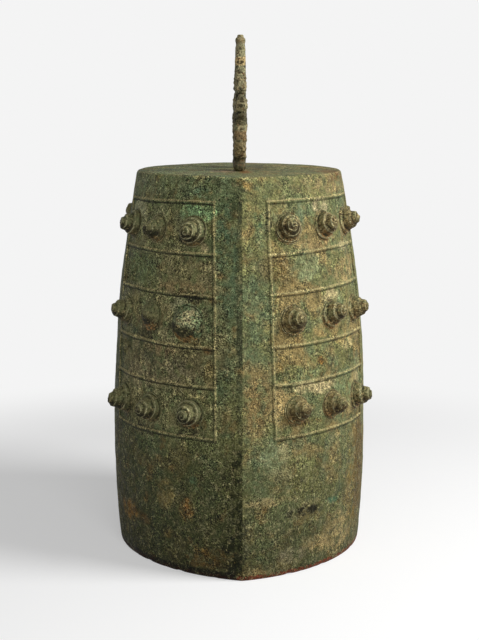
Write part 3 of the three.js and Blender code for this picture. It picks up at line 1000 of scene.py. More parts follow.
class BELL_OT_bosses(bpy.types.Operator):
    """Model the spiral bosses, three rows of three in each of the four panels"""

    bl_idname = "bronze_bell.bosses"
    bl_label = "Spiral Bosses"

    def execute(self, context):
        boss = context.scene.bell_boss
        chance = random.Random(BOSS_SEED)
        for name, place, z, along in boss_places():
            side, half, _, _ = place
            look = {key: chance.uniform(least, most) for key, (least, most) in CHANCES.items()}
            look.update({"hand": half, "slant": 0.4 if side < 0 else 0.0})
            if place in WORN_LOOKS:
                look.update(zip(WORN_KEYS, WORN_LOOKS[place]))
            finish = "pale_green_corroded_bronze" if name == LUMP else "cast_bronze_boss_patina"
            dress(self.build(f"spiral_{name}", boss, look, side, z, along), finish, "boss_patina", name)
        return {"FINISHED"}

    def build(self, name, boss, look, side, z, along):
        radii = spread(0.0, boss.radius, BOSS_RINGS)
        radii += spread(boss.radius, boss.radius + boss.flange, FLANGE_RINGS)
        last = len(radii) + 2
        bm, layers = point_grid(BOSS_AROUND, last, "crest", "hollow", "low", "rust")
        crest_mark, hollow_mark, low_mark, rust_mark = layers
        normal = outward(side, z, along)
        aside = Vector((0, 0, 1)).cross(normal).normalized()
        upward = normal.cross(aside)
        curve = face_arc(z)[1]
        place = on_face(side, z, along)
        place += wander(place)
        for index, vert in enumerate(bm.verts):
            turn = (index % (BOSS_AROUND + 1)) % BOSS_AROUND / BOSS_AROUND
            row = index // (BOSS_AROUND + 1)
            angle = 2 * math.pi * turn
            radius = radii[row] if row < len(radii) else boss.radius + boss.flange
            if row == last:
                radius = 0.0
            flat = Vector((math.cos(angle), math.sin(angle))) * radius * look["wide"]
            seed = Vector((flat.x, flat.y, look["seed"]))
            far = radius / boss.radius
            # Painted shade with some dirt on the underside, turned to the lower left on the -X face, away
            # from the lamps.
            below = -math.sin(angle) - look["slant"] * math.cos(angle)
            underside_edge = 0.2 - 0.7 * look["dirt_and_shade"]
            low = smooth_step(underside_edge, underside_edge + 1.0, below * min(1.0, far * 1.8))
            vert[low_mark] = low * (1 - 0.65 * smooth_step(0.7, 0.95, far))
            vert[rust_mark] = look["rust"] * smooth_step(0.1, 0.8, below) * smooth_step(0.6, 0.9, far)
            if radius < boss.radius:
                out, crest, hollow = boss_surface(radius, turn, boss, look)
                wear = boss.wear * roughness(seed, BOSS_WAVES)
                out += wear * (1.6 - look["fresh"]) * smooth_step(1.0, 0.85, far)
            else:
                out, crest, hollow = flange_surface(radius, seed, boss)
            vert[crest_mark] = crest
            vert[hollow_mark] = hollow
            if row >= len(radii):
                out = -boss.root
            shift = Vector((look["aside"], look["up"])) * MM
            shift *= boss.foot_share + (1 - boss.foot_share) * smooth_step(0.0, boss.height, out)
            x, y = flat.x + shift.x, flat.y + shift.y
            drop = curve - math.sqrt(curve * curve - x * x)
            vert.co = place + aside * x + upward * y + normal * (out - drop)
        close_skin(bm)
        return mesh_object(name, bm)


# The loop's outlines, as rows of shares: out from the middle, up from the top plate, then the depth
# of the limb in the plane of the loop and its thickness across it. The first runs from foot to bar.
LIMB_SHARES = (
    (0.44, -0.06, 0.90, 1.00),
    (0.44, 0.00, 0.94, 1.00),
    (0.47, 0.07, 0.92, 1.00),
    (0.60, 0.15, 1.10, 1.02),
    (0.72, 0.24, 1.24, 1.02),
    (0.74, 0.32, 1.16, 1.12),
    (0.65, 0.395, 0.98, 1.16),
    (0.56, 0.47, 0.92, 1.06),
    (0.53, 0.56, 0.82, 0.98),
    (0.56, 0.64, 1.10, 0.98),
    (0.55, 0.69, 1.00, 0.94),
    (0.53, 0.75, 0.72, 0.88),
    (0.46, 0.85, 0.70, 0.84),
    (0.33, 0.915, 0.70, 0.80),
    (0.16, 0.94, 0.68, 0.78),
    (0.00, 0.94, 0.68, 0.78),
)
HEAD_SHARES = (
    (0.50, 0.50, 0.60, 0.90),
    (0.66, 0.51, 1.04, 1.14),
    (0.80, 0.497, 0.86, 1.08),
    (0.92, 0.487, 0.56, 0.86),
    (1.00, 0.515, 0.40, 0.72),
    (0.975, 0.562, 0.30, 0.58),
    (0.91, 0.577, 0.18, 0.40),
)
JAW_SHARES = (
    (0.60, 0.45, 0.50, 0.90),
    (0.75, 0.425, 0.44, 0.84),
    (0.87, 0.418, 0.32, 0.70),
    (0.95, 0.43, 0.18, 0.50),
)
HORN_SHARES = (
    (0.58, 0.54, 0.50, 0.86),
    (0.69, 0.59, 0.44, 0.80),
    (0.77, 0.63, 0.32, 0.66),
    (0.785, 0.67, 0.24, 0.54),
    (0.735, 0.685, 0.14, 0.36),
)
PAW_SHARES = (
    (0.32, 0.035, 0.40, 0.80),
    (0.46, 0.045, 0.76, 1.06),
    (0.60, 0.040, 0.72, 1.08),
    (0.69, 0.030, 0.54, 0.96),
    (0.74, 0.022, 0.26, 0.60),
)
TAIL_SHARES = (
    (0.60, 0.19, 0.66, 0.86),
    (0.44, 0.225, 0.54, 0.82),
    (0.29, 0.195, 0.46, 0.76),
    (0.22, 0.125, 0.38, 0.70),
    (0.27, 0.07, 0.32, 0.62),
    (0.36, 0.085, 0.24, 0.50),
)
EYE_SHARE = (0.72, 0.535)
EYE_RADIUS = 4.0 * MM
EYE_SUNK = 1.8 * MM
FINIAL_SHARES = (
    (0.0, -0.5),
    (0.8, -0.5),
    (1.0, 0.1),
    (0.95, 0.5),
    (0.62, 0.62),
    (0.6, 0.88),
    (0.48, 1.0),
    (0.0, 1.0),
)
FINIAL_RADIUS = 10 * MM
FINIAL_HEIGHT = 14 * MM


def curve_point(points, share):
    """A point at a share of the way along a smooth curve through the points."""
    last = len(points) - 1
    place = min(max(share, 0.0), 1.0) * last
    start = min(int(place), last - 1)
    t = place - start
    before = points[start - 1] if start else points[0] * 2 - points[1]
    after = points[start + 2] if start + 2 <= last else points[last] * 2 - points[last - 1]
    first, second = points[start], points[start + 1]
    bend = (before * 2 - first * 5 + second * 4 - after) * t * t
    swing = (first * 3 - before - second * 3 + after) * t * t * t
    return (first * 2 + (second - before) * t + bend + swing) / 2


def add_limb(bm, shares, side, loop, base):
    """Lofts one limb of the loop through rounded rings and closes its ends."""
    places = [Vector((0, side * out * loop.half_width, base + up * loop.height)) for out, up, _, _ in shares]
    sizes = [Vector((deep * loop.depth / 2, thick * loop.thickness / 2, 0)) for _, _, deep, thick in shares]
    count = (len(places) - 1) * 5
    step = 0.2 / count
    ring_edges = []
    for i in range(count + 1):
        share = i / count
        middle = curve_point(places, share)
        size = curve_point(sizes, share)
        ahead = (curve_point(places, share + step) - curve_point(places, share - step)).normalized()
        normal = Vector((0, -ahead.z, ahead.y))
        thick = Vector((1, 0, 0))
        turn = Matrix((normal, thick, ahead)).transposed().to_4x4()
        at_end = i in (0, count)
        ring = bmesh.ops.create_circle(bm, cap_ends=at_end, segments=20, radius=1)
        for vert in ring["verts"]:
            x, y = vert.co.x, vert.co.y
            x = math.copysign(abs(x) ** 0.8, x) * size.x
            y = math.copysign(abs(y) ** 0.8, y) * size.y
            vert.co = middle + (turn @ Vector((x, y, 0, 0))).to_3d()
        ring_edges.append({edge for vert in ring["verts"] for edge in vert.link_edges})
    for first, second in zip(ring_edges, ring_edges[1:]):
        bmesh.ops.bridge_loops(bm, edges=list(first | second))


def add_finial(bm, base, loop):
    """Spins the small cap that stands on the bar."""
    _, bar_up, bar_depth, _ = LIMB_SHARES[-1]
    bar_top = base + bar_up * loop.height + bar_depth * loop.depth / 2
    profile = []
    for out, up in FINIAL_SHARES:
        profile.append(bm.verts.new((out * FINIAL_RADIUS, 0, bar_top + up * FINIAL_HEIGHT)))
    edges = [bm.edges.new(pair) for pair in zip(profile, profile[1:])]
    bmesh.ops.spin(
        bm,
        geom=profile + edges,
        cent=(0, 0, 0),
        axis=(0, 0, 1),
        angle=2 * math.pi,
        steps=24,
        use_merge=True,
    )


# Between which heights over the top plate the scaled legs and the rough heads lie, the rings and
# grooves round the limbs, with their height, their width and how proud they stand, all in
# millimetres, and the waves of the crust.
SCALED_FROM, SCALED_TO = (22, 34), (96, 84)
HEAD_FROM, HEAD_TO = (98, 106), (172, 160)
LIMB_RINGS = ((26, 2.5, 1.0), (90, 3.0, -1.0), (126, 2.5, -1.0), (146, 2.5, -1.4), (171, 1.5, 1.1))
LIMB_WAVES = ((12 * MM, 0.9 * MM), (5 * MM, 0.8 * MM))


def loop_relief(point, base, loop):
    """How far the loop's surface stands proud of its smooth limbs: scales, rings and crust."""
    up = (point.z - base) / MM
    scales = smooth_step(*SCALED_FROM, up) * smooth_step(*SCALED_TO, up)
    head = smooth_step(*HEAD_FROM, up) * smooth_step(*HEAD_TO, up)
    cells, _ = noise.voronoi(point / loop.scale_size)
    relief = loop.scale_relief * (scales + 0.55 * head) * (0.45 - cells[0])
    relief += roughness(point, LIMB_WAVES) * (0.7 + 1.1 * scales + head)
    return relief + sum(proud * MM * bump_at(up, ring, width) for ring, width, proud in LIMB_RINGS)


class BELL_OT_loop(bpy.types.Operator):
    """Model the hanging loop, two beasts foot to foot that carry a bar"""

    bl_idname = "bronze_bell.loop"
    bl_label = "Hanging Loop"

    def execute(self, context):
        loop = context.scene.bell_loop
        base = context.scene.bell_body.height
        bm = bmesh.new()
        mirrored = [(-out, up, deep, thick) for out, up, deep, thick in LIMB_SHARES[:-1]]
        add_limb(bm, list(LIMB_SHARES) + mirrored[::-1], 1, loop, base)
        for side in (1, -1):
            for shares in (HEAD_SHARES, JAW_SHARES, HORN_SHARES, PAW_SHARES, TAIL_SHARES):
                add_limb(bm, shares, side, loop, base)
            for face in (1, -1):
                out, up = EYE_SHARE
                aside = face * (loop.thickness / 2 - EYE_SUNK)
                eye = Matrix.Translation((aside, side * out * loop.half_width, base + up * loop.height))
                bmesh.ops.create_icosphere(bm, subdivisions=3, radius=EYE_RADIUS, matrix=eye)
        add_finial(bm, base, loop)
        bmesh.ops.recalc_face_normals(bm, faces=bm.faces)
        limbs = mesh_object("beast_loop", bm)
        remesh = limbs.modifiers.new("grow together", "REMESH")
        remesh.mode = "VOXEL"
        remesh.voxel_size = loop.voxel
        settle = limbs.modifiers.new("settle", "SMOOTH")
        settle.iterations = 3
        graph = context.evaluated_depsgraph_get()
        grown = bpy.data.meshes.new_from_object(limbs.evaluated_get(graph))
        limbs.modifiers.clear()
        limbs.data = grown
        bm = bmesh.new()
        bm.from_mesh(grown)
        moves = [vert.normal * loop_relief(vert.co, base, loop) for vert in bm.verts]
        for vert, move in zip(bm.verts, moves):
            vert.co += move
            vert.co.x += loop.lean * (vert.co.z - base) / loop.height
        smooth(bm)
        bm.to_mesh(grown)
        bm.free()
        dress(limbs, "cast_bronze_tan_crust", "loop_patina", "suspension_loop")
        return {"FINISHED"}


def add(tree, kind, inputs=(), **settings):
    """Adds one node with its settings, and fills its inputs with values or links."""
    node = tree.nodes.new(kind)
    for name, value in settings.items():
        setattr(node, name, value)
    for socket, value in dict(inputs).items():
        if isinstance(value, bpy.types.NodeSocket):
            tree.links.new(value, node.inputs[socket])
        else:
            node.inputs[socket].default_value = value
    return node


def per(millimetres):
    """The noise scale that gives marks of about this size."""
    return 1000 / millimetres


MIX_FACTOR, MIX_A, MIX_B, MIX_RESULT = 0, 6, 7, 2


def mixed(tree, share, under, over, blend_type="MIX"):
    """One colour laid over another by a share, or multiplied with it."""
    inputs = {MIX_FACTOR: share, MIX_A: under, MIX_B: over}
    return add(tree, "ShaderNodeMix", inputs, data_type="RGBA", blend_type=blend_type).outputs[MIX_RESULT]


BELT_EDGE = 3 * MM
METALLIC = 0.1
SPECULAR = 0.15
ROUGHNESS_SPAN = 0.25


class Patina:
    """A finish built up in layers: a ground colour, then marks of other colours over it.

    The noise that makes the marks has sizes in millimetres and values round one half.
    """

    def __init__(self, name, ground, dim_side_grain):
        self.material = bpy.data.materials.new(name)
        self.material.use_nodes = True
        self.tree = self.material.node_tree
        self.tree.nodes.clear()
        self.place = add(self.tree, "ShaderNodeTexCoord").outputs["Object"]
        self.axes = add(self.tree, "ShaderNodeSeparateXYZ", {0: self.place}).outputs
        self.colour = linear(ground)
        self.edge = self.marks(7, detail=5)
        rough = self.between(self.marks(30, shift=17), 0.4, 0.6, 0.55, 1.2)
        # Grain deeper on the -X side: painted shade for the relief where the light grazes it.
        self.rough = self.times(rough, self.shade(DIM_GRAIN_SIDE, 1.0, dim_side_grain))

    def marks(self, size, shift=0.0, detail=3.0):
        """Cloudy marks of a size, moved away from others of that size by a shift."""
        place = self.place
        if shift:
            inputs = {0: place, "Location": (shift, shift * 0.7, 0)}
            place = add(self.tree, "ShaderNodeMapping", inputs).outputs[0]
        inputs = {"Vector": place, "Scale": per(size), "Detail": detail, "Roughness": 0.6}
        return add(self.tree, "ShaderNodeTexNoise", inputs).outputs["Fac"]

    def between(self, value, low, high, start=0.0, end=1.0):
        """Goes smoothly from start to end while a value goes from low to high."""
        inputs = {"Value": value, "From Min": low, "From Max": high, "To Min": start, "To Max": end}
        kind = "ShaderNodeMapRange"
        return add(self.tree, kind, inputs, interpolation_type="SMOOTHSTEP").outputs[0]

    def shade(self, zone, start=0.0, end=1.0):
        """Goes smoothly from start to end through a zone of the bell."""
        axis, low, high = zone
        return self.between(self.axes[axis], low, high, start, end)

    def combined(self, operation, first, second=0.0):
        return add(self.tree, "ShaderNodeMath", {0: first, 1: second}, operation=operation).outputs[0]

    def times(self, first, second):
        return self.combined("MULTIPLY", first, second)

    def named(self, name):
        """The value that the mesh carries under a name."""
        return add(self.tree, "ShaderNodeAttribute", attribute_name=name).outputs["Fac"]

    def layer(self, mask, code, amount=1.0):
        """Lays a colour over what is there, where the mask is high."""
        if amount != 1.0:
            mask = self.times(mask, amount)
        self.colour = mixed(self.tree, mask, self.colour, linear(code) if isinstance(code, str) else code)

    def patches(self, rows):
        """Lays colours in cloudy patches."""
        for size, low, high, code, amount, shift in rows:
            self.layer(self.between(self.marks(size, shift), low, high), code, amount)

    def wires(self, rows, where):
        """Lays thin winding lines, as corrosion grows them, where a value is high."""
        for size, code, amount, shift in rows:
            level = self.combined("SUBTRACT", self.marks(size, shift, detail=2), 0.5)
            line = self.between(self.combined("ABSOLUTE", level), 0.022, 0.008)
            kept_part = self.between(self.marks(40, shift + 1), 0.42, 0.56)
            self.layer(self.times(self.times(line, kept_part), where), code, amount)

    def ragged(self, mask, strength=0.8):
        """Breaks up the edge of a mask with the crust's own marks."""
        broken = self.between(self.edge, 0.3, 0.7, 1 - strength, 1 + strength)
        return self.between(self.times(mask, broken), 0.3, 0.7)

    def blots(self, rows):
        """Lays ragged blots: their centre, their half sizes, the colour and how strongly it covers."""
        for centre, size, code, amount in rows:
            inputs = {0: self.place, "Location": Vector(centre) * MM, "Scale": Vector(size) * MM}
            local = add(self.tree, "ShaderNodeMapping", inputs, vector_type="TEXTURE").outputs[0]
            far = add(self.tree, "ShaderNodeVectorMath", {0: local}, operation="LENGTH").outputs["Value"]
            ragged = self.combined("ADD", far, self.between(self.edge, 0.3, 0.7, -0.7, 0.7))
            self.layer(self.between(ragged, 1.2, 0.6), code, amount)

    def stains_and_shade(self):
        """Lays the stains and painted shade that the mesh carries, broken up by cloudy marks."""
        stain = add(self.tree, "ShaderNodeAttribute", attribute_name="stain").outputs
        broken = self.between(self.marks(16, 31, detail=5), 0.35, 0.65, 0.4, 1.6)
        self.layer(self.between(self.times(stain["Alpha"], broken), 0.1, 1.0), stain["Color"])

    def belts(self, rows):
        """Lays colours between two heights, with ragged edges."""
        for low, high, code, amount in rows:
            over = self.shade(("Z", low * MM - BELT_EDGE, low * MM + BELT_EDGE))
            under = self.shade(("Z", high * MM + BELT_EDGE, high * MM - BELT_EDGE))
            self.layer(self.ragged(self.times(over, under), 0.5), code, amount)

    def grains(self, rows):
        """Lightens and darkens the colour in grains, deeper in rough places."""
        for size, depth, shift in rows:
            light = self.between(self.marks(size, shift, detail=2), 0.32, 0.68, -depth, depth)
            light = self.combined("ADD", self.times(light, self.rough), 1.0)
            self.colour = mixed(self.tree, 1.0, self.colour, light, "MULTIPLY")

    def finish(self, roughness, pits):
        """Joins the colour, the roughness and fine pits into the shader."""
        rough = self.between(self.marks(14), 0.3, 0.7, roughness, roughness + ROUGHNESS_SPAN)
        coarse = self.marks(8, detail=6)
        height = self.combined("ADD", coarse, self.times(self.marks(3), 0.6))
        bump = add(self.tree, "ShaderNodeBump", {"Height": height, "Distance": pits, "Strength": 1.0})
        inputs = {"Base Color": self.colour, "Roughness": rough, "Metallic": METALLIC}
        inputs.update({"Normal": bump.outputs[0], "Specular IOR Level": SPECULAR})
        shader = add(self.tree, "ShaderNodeBsdfPrincipled", inputs)
        add(self.tree, "ShaderNodeOutputMaterial", {"Surface": shader.outputs[0]})


# Zones of the bell: the axis that they lie along, and where they start and where they are full.
# The -X side faces away from the key lamp; the colours laid on it are partly painted shade.
DIM_GRAIN_SIDE = ("X", 20 * MM, -60 * MM)
LIT_SIDE = ("X", -60 * MM, 20 * MM)
DIM_SIDE = ("X", 0.0, -60 * MM)
SHADED_SIDE = ("X", 0.0, -50 * MM)
SHADED_RIM = ("X", 0.0, -20 * MM)
FAR_SIDE = ("X", -140 * MM, -240 * MM)
LOW_WALL = ("Z", 300 * MM, 140 * MM)
LOWER_WALL = ("Z", 280 * MM, 160 * MM)
LOWEST_WALL = ("Z", 140 * MM, 0.0)
RUSTY_RIM = ("Z", 13 * MM, 3 * MM)
DARK_RIM = ("Z", 22 * MM, 6 * MM)
PALE_WIRE_ZONE = ("Z", 330 * MM, 240 * MM)
DARK_WIRE_ZONE = ("Z", 200 * MM, 300 * MM)

# Colours laid over zones of the wall, mostly painted shade where the lamps light it less: greener and
# darker on the -X side, darker still towards the middle of that face, and darker towards the bottom.
# Each row has its zone, the colour and how strongly it covers.
WALL_PAINTED_SHADES = (
    (DIM_SIDE, "566844", 0.4),
    (FAR_SIDE, "292c16", 0.75),
    (LOW_WALL, "47482a", 0.5),
    (LOWEST_WALL, "302d1a", 0.4),
)

# Patches: their size, where their noise starts and where it is full, the colour, how strongly it
# covers and the noise's shift.
WALL_CLOUDS = (
    (120, 0.44, 0.60, "646d49", 0.85, 0),
    (60, 0.50, 0.62, "917c4f", 0.8, 3),
    (42, 0.53, 0.63, "637150", 0.6, 5),
)
WALL_EARTH = ((30, 0.58, 0.68, "715a34", 0.6, 7),)
WALL_SPECKS = (
    (14, 0.56, 0.66, "40402a", 0.6, 9),
    (8, 0.56, 0.66, "a79c70", 0.4, 11),
    (5, 0.59, 0.67, "1b1d10", 0.7, 13),
)
BOSS_CLOUDS = (
    (28, 0.44, 0.58, "646a48", 0.6, 0),
    (13, 0.52, 0.64, "5a4426", 0.7, 3),
    (9, 0.54, 0.64, "9c8c5e", 0.7, 5),
)
BOSS_SPECKS = (
    (5, 0.58, 0.66, "a8986c", 0.6, 15),
    (4, 0.57, 0.65, "1e170c", 0.7, 17),
)
LUMP_CLOUDS = ((18, 0.46, 0.56, "687a55", 0.8, 0),)
LUMP_SPECKS = (
    (8, 0.54, 0.62, "978a60", 0.6, 7),
    (5, 0.54, 0.60, "1c1a0e", 0.85, 5),
)
LOOP_CLOUDS = (
    (16, 0.45, 0.6, "988a66", 0.8, 0),
    (14, 0.56, 0.66, "66704f", 0.6, 5),
)
LOOP_SPECKS = (
    (10, 0.52, 0.62, "2b2617", 0.85, 3),
    (8, 0.58, 0.66, "6e4a2a", 0.5, 7),
)

# Winding lines: their size, the colour, how strongly it covers and the noise's shift.
PALE_WIRES = ((24, "948f68", 0.45, 19), (15, "9c9a74", 0.3, 29))
DARK_WIRES = ((19, "1b1c10", 0.5, 23),)

# Grains: their size, how much they lighten and darken, and the noise's shift.
WALL_GRAINS = ((12, 0.18, 2), (7, 0.22, 0), (3.6, 0.35, 4), (2.0, 0.75, 6))
BOSS_GRAINS = ((3.6, 0.5, 0), (2.1, 0.5, 4))
LUMP_GRAINS = ((3.6, 0.5, 0), (2.1, 0.6, 4))
LOOP_GRAINS = ((4, 0.4, 0), (2.1, 0.4, 4))

# Blots, in millimetres: their centre, their half sizes, the colour and how strongly it covers.
PLATE_BLOTS = (
    ((10, -80, 715), (12, 60, 10), "8a5a2c", 0.75),
    ((-30, -70, 715), (25, 50, 10), "9c8062", 0.7),
    ((37, 50, 715), (30, 100, 10), "33321f", 0.75),
    ((165, -60, 712), (25, 60, 12), "74441f", 0.6),
)
LUMP_BLOTS = (((-96, -272, 477), (14, 14, 14), "b2a67c", 0.75),)

# Belts round the loop, from the foot up: their lowest and highest point in millimetres over the
# floor, the colour and how strongly it covers. The dark belt just under the jaws is painted shadow.
LOOP_BELTS = (
    (718, 741, "35321f", 0.75),
    (745, 770, "a08e66", 0.6),
    (774, 790, "6d5031", 0.65),
    # Painted shadow under the jaws.
    (801, 824, "2c2916", 0.75),
    (835, 846, "9a8f6c", 0.4),
    (848, 864, "55543c", 0.6),
    (888, 950, "84815f", 0.45),
    (910, 925, "b59d6c", 0.8),
    (951, 957, "5d5136", 0.6),
)


def paint_wall(patina):
    """Centuries of patina on the body: matt, green to brown, with tan earth and rust on it, and painted
    shade and highlights laid over it.
    """
    patina.patches(WALL_CLOUDS)
    for zone, code, amount in WALL_PAINTED_SHADES:
        patina.layer(patina.shade(zone), code, amount)
    # Painted shade low on the -X side.
    patina.layer(patina.times(patina.shade(LOWER_WALL), patina.shade(SHADED_SIDE)), "24240f", 0.3)
    patina.patches(WALL_EARTH)
    patina.stains_and_shade()
    patina.blots(PLATE_BLOTS)
    patina.patches(WALL_SPECKS)
    # Pale crests, partly wear and partly painted highlight, a little stronger on the +X side.
    crest = patina.ragged(patina.named("crest"), 0.35)
    patina.layer(patina.times(crest, patina.shade(LIT_SIDE, 0.9, 1.0)), "a5996a", 0.75)
    # Painted shade under the raised lines and bosses and in the bands' hollows, with some grime; weaker on
    # the +X side, towards the key lamp.
    grime = patina.ragged(patina.named("grime"), 0.35)
    patina.layer(patina.times(grime, patina.shade(LIT_SIDE, 1.0, 0.65)), "1a1c0f", 0.85)
    patina.layer(patina.ragged(patina.shade(RUSTY_RIM)), "6e3424", 0.9)
    # Painted shade along the bottom of the -X side, next to the floor.
    under = patina.times(patina.shade(DARK_RIM), patina.shade(SHADED_RIM))
    patina.layer(patina.ragged(under, 0.5), "13110a", 0.9)
    patina.wires(PALE_WIRES, patina.shade(PALE_WIRE_ZONE, 0.35, 1.0))
    patina.wires(DARK_WIRES, patina.shade(DARK_WIRE_ZONE, 0.5, 1.0))
    patina.grains(WALL_GRAINS)


def paint_boss(patina):
    """The same patina on the bosses: dark brown below with dirt and painted shade, darkest on the -X side,
    with rusty feet and pale worn crests.
    """
    dim_side = patina.shade(DIM_SIDE)
    patina.patches(BOSS_CLOUDS)
    # Greener and darker on the -X side: partly patina, partly painted shade.
    patina.layer(dim_side, "6a7350", 0.5)
    low = patina.named("low")
    # Painted shade and dirt on the underside, darkest on the -X side.
    patina.layer(low, "46351d", 0.65)
    clotted = patina.between(patina.marks(11, 21), 0.40, 0.58, 0.1, 1.0)
    patina.layer(patina.times(low, clotted), "261c0e", 0.7)
    patina.layer(patina.times(low, dim_side), "171c10", 0.75)
    speckled = patina.between(patina.marks(6, 9), 0.47, 0.57)
    patina.layer(patina.times(patina.named("rust"), speckled), "9c7444", 0.85)
    patina.layer(patina.ragged(patina.named("hollow"), 0.5), "1c190c", 0.7)
    patina.layer(patina.ragged(patina.named("crest"), 0.5), "b0aa82", 0.65)
    patina.patches(BOSS_SPECKS)
    patina.grains(BOSS_GRAINS)


def paint_lump(patina):
    """A boss worn to a lump: pale green and cream corrosion above, dark pitted bronze below, darkened
    further by painted shade.
    """
    patina.patches(LUMP_CLOUDS)
    # Painted shade and dirt on the underside.
    patina.layer(patina.ragged(patina.named("low"), 0.4), "2f2a18", 0.9)
    patina.layer(patina.ragged(patina.named("rust"), 0.5), "8f6636", 0.7)
    patina.blots(LUMP_BLOTS)
    patina.patches(LUMP_SPECKS)
    patina.layer(patina.ragged(patina.named("hollow"), 0.4), "1d1b0e", 0.7)
    patina.grains(LUMP_GRAINS)


def paint_loop(patina):
    """A rough tan crust on the loop, with dark belts round it, the one under the jaws a painted shadow."""
    patina.patches(LOOP_CLOUDS)
    patina.belts(LOOP_BELTS)
    patina.patches(LOOP_SPECKS)
    patina.grains(LOOP_GRAINS)


# The finishes: the function that paints them, their ground colour, how much deeper their grain is on
# the -X side, where it stands in as painted shade for the relief in grazing light, their least
# roughness and the depth of their pits.
FINISHES = {
    "cast_bronze_green_patina": (paint_wall, GROUND, 1.4, 0.6, 3.8 * MM),
    "cast_bronze_boss_patina": (paint_boss, "7a6e48", 0.7, 0.55, 2.4 * MM),
    "pale_green_corroded_bronze": (paint_lump, "787c5a", 1.2, 0.6, 3.6 * MM),
    "cast_bronze_tan_crust": (paint_loop, "7f795a", 1.4, 0.6, 2.0 * MM),
}


def finish_named(name):
    """A finish of the bell, painted when a piece first asks for it."""
    if name not in bpy.data.materials:
        paint, ground, dim_side_grain, roughness, pits = FINISHES[name]
        patina = Patina(name, ground, dim_side_grain)
        paint(patina)
        patina.finish(roughness, pits)
    return bpy.data.materials[name]


def seen_by_camera(tree):
    """One for the rays that show a surface to the camera, also through gloss and glass."""
    rays = add(tree, "ShaderNodeLightPath").outputs
    seen = rays["Is Camera Ray"]
    for name in ("Is Glossy Ray", "Is Transmission Ray"):
        seen = add(tree, "ShaderNodeMath", {0: seen, 1: rays[name]}, operation="MAXIMUM").outputs[0]
    return seen


def grey(value):
    return (value, value, value, 1)


FLOOR_PALE = 0.63
FLOOR_BOUNCE = 0.35
FLOOR_LIFT = 0.40
FLOOR_FADE = (0.8, 1.5)
FLOOR_RADIUS = 8


def pale_surface(name, pale):
    """A plain pale floor that keeps the bell's shadow and fades into the backdrop."""
    material = bpy.data.materials.new(name)
    material.use_nodes = True
    tree = material.node_tree
    tree.nodes.clear()
    place = add(tree, "ShaderNodeTexCoord").outputs["Object"]
    far = add(tree, "ShaderNodeVectorMath", {0: place}, operation="LENGTH").outputs["Value"]
    inputs = {"Value": far, "From Min": FLOOR_FADE[0], "From Max": FLOOR_FADE[1]}
    fade = add(tree, "ShaderNodeMapRange", inputs, interpolation_type="SMOOTHSTEP").outputs[0]
    seen = seen_by_camera(tree)
    tone = mixed(tree, seen, grey(FLOOR_BOUNCE), grey(FLOOR_PALE))
    lit = add(tree, "ShaderNodeBsdfDiffuse", {"Color": tone})
    lift = add(tree, "ShaderNodeMath", {0: seen, 1: FLOOR_LIFT}, operation="MULTIPLY").outputs[0]
    own = add(tree, "ShaderNodeEmission", {"Color": grey(1), "Strength": lift})
    floor = add(tree, "ShaderNodeAddShader", {0: lit.outputs[0], 1: own.outputs[0]})
    glow = add(tree, "ShaderNodeEmission", {"Color": grey(pale), "Strength": 1.0})
    mix = add(tree, "ShaderNodeMixShader", {0: fade, 1: floor.outputs[0], 2: glow.outputs[0]})
    add(tree, "ShaderNodeOutputMaterial", {"Surface": mix.outputs[0]})
    return material


# The lamps: their place and the size of their disk, in metres. They aim at one point of the bell.
LAMPS = {
    "key": ((2.30, -0.90, 2.35), 1.5),
    "fill": ((0.55, -2.90, 1.45), 1.4),
}
LIGHT_AIM = (0.0, 0.0, 0.38)


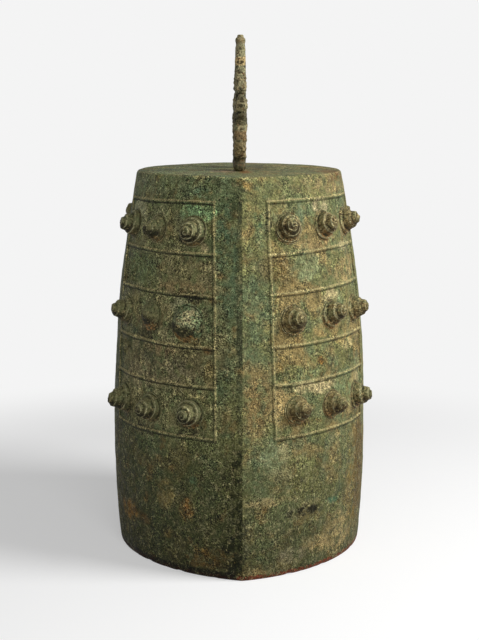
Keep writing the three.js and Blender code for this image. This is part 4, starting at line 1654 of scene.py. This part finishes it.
class BELL_OT_stage(bpy.types.Operator):
    """Set the camera, the light, the floor and the backdrop"""

    bl_idname = "bronze_bell.stage"
    bl_label = "Camera, Light and Floor"

    def execute(self, context):
        stage = context.scene.bell_stage
        self.set_camera(context, stage)
        self.set_light(context, stage)
        self.set_floor(context, stage)
        return {"FINISHED"}

    def set_camera(self, context, stage):
        camera = bpy.data.cameras.new("camera")
        camera.lens = stage.lens
        camera.sensor_width = 36
        camera.clip_end = 50
        eye = bpy.data.objects.new("camera", camera)
        turn = Matrix.Rotation(stage.yaw, 4, "Z")
        place = turn @ Vector((stage.aside, -stage.distance, stage.height))
        tilt = Matrix.Rotation(math.pi / 2 - stage.pitch, 4, "X")
        eye.matrix_world = Matrix.Translation(place) @ turn @ tilt
        context.scene.collection.objects.link(eye)
        context.scene.camera = eye

    def set_light(self, context, stage):
        for name, (place, size) in LAMPS.items():
            light = bpy.data.lights.new(name, "AREA")
            light.shape = "DISK"
            light.size = size
            light.energy = getattr(stage, f"{name}_power")
            lamp = bpy.data.objects.new(name, light)
            lamp.location = place
            lamp.rotation_euler = (Vector(place) - Vector(LIGHT_AIM)).to_track_quat("Z", "Y").to_euler()
            context.scene.collection.objects.link(lamp)
        world = bpy.data.worlds.new("soft_room")
        context.scene.world = world
        world.use_nodes = True
        tree = world.node_tree
        tree.nodes.clear()
        soft = add(tree, "ShaderNodeBackground", {"Color": grey(1), "Strength": stage.ambient})
        shown = add(tree, "ShaderNodeBackground", {"Color": grey(stage.pale), "Strength": 1.0})
        inputs = {0: seen_by_camera(tree), 1: soft.outputs[0], 2: shown.outputs[0]}
        mix = add(tree, "ShaderNodeMixShader", inputs)
        add(tree, "ShaderNodeOutputWorld", {"Surface": mix.outputs[0]})
        context.scene.view_settings.view_transform = "Standard"

    def set_floor(self, context, stage):
        bm = bmesh.new()
        bmesh.ops.create_circle(bm, cap_ends=True, segments=96, radius=FLOOR_RADIUS)
        floor = mesh_object("floor", bm)
        floor.data.materials.append(pale_surface("pale_studio_floor", stage.pale))


class BELL_PT_panel(bpy.types.Panel):
    """The bell's pieces, one button for each group"""

    bl_label = "Bronze Bell"
    bl_idname = "BELL_PT_panel"
    bl_space_type = "VIEW_3D"
    bl_region_type = "UI"
    bl_category = "Bronze Bell"

    def draw(self, context):
        for operator in OPERATORS:
            self.layout.operator(operator.bl_idname)
        for name in SETTINGS:
            box = self.layout.box()
            settings = getattr(context.scene, name)
            for key in settings.__annotations__:
                box.prop(settings, key)


OPERATORS = (BELL_OT_stage, BELL_OT_body, BELL_OT_bands, BELL_OT_bosses, BELL_OT_loop)
SETTINGS = {
    "bell_body": BellBodySettings,
    "bell_band": BellBandSettings,
    "bell_boss": BellBossSettings,
    "bell_loop": BellLoopSettings,
    "bell_stage": BellStageSettings,
}


# Vector noise moves with its seed, which is drawn anew in each session where none is set.
NOISE_SEED = 1


def register():
    noise.seed_set(NOISE_SEED)
    for settings in (*SETTINGS.values(), *OPERATORS, BELL_PT_panel):
        bpy.utils.register_class(settings)
    for name, settings in SETTINGS.items():
        setattr(bpy.types.Scene, name, bpy.props.PointerProperty(type=settings))


def unregister():
    for name in SETTINGS:
        delattr(bpy.types.Scene, name)
    for settings in (BELL_PT_panel, *reversed(OPERATORS), *reversed(SETTINGS.values())):
        bpy.utils.unregister_class(settings)


def main():
    register()
    bpy.ops.bronze_bell.stage()
    bpy.ops.bronze_bell.body()
    bpy.ops.bronze_bell.bands()
    bpy.ops.bronze_bell.bosses()
    bpy.ops.bronze_bell.loop()


if __name__ == "__main__":
    main()
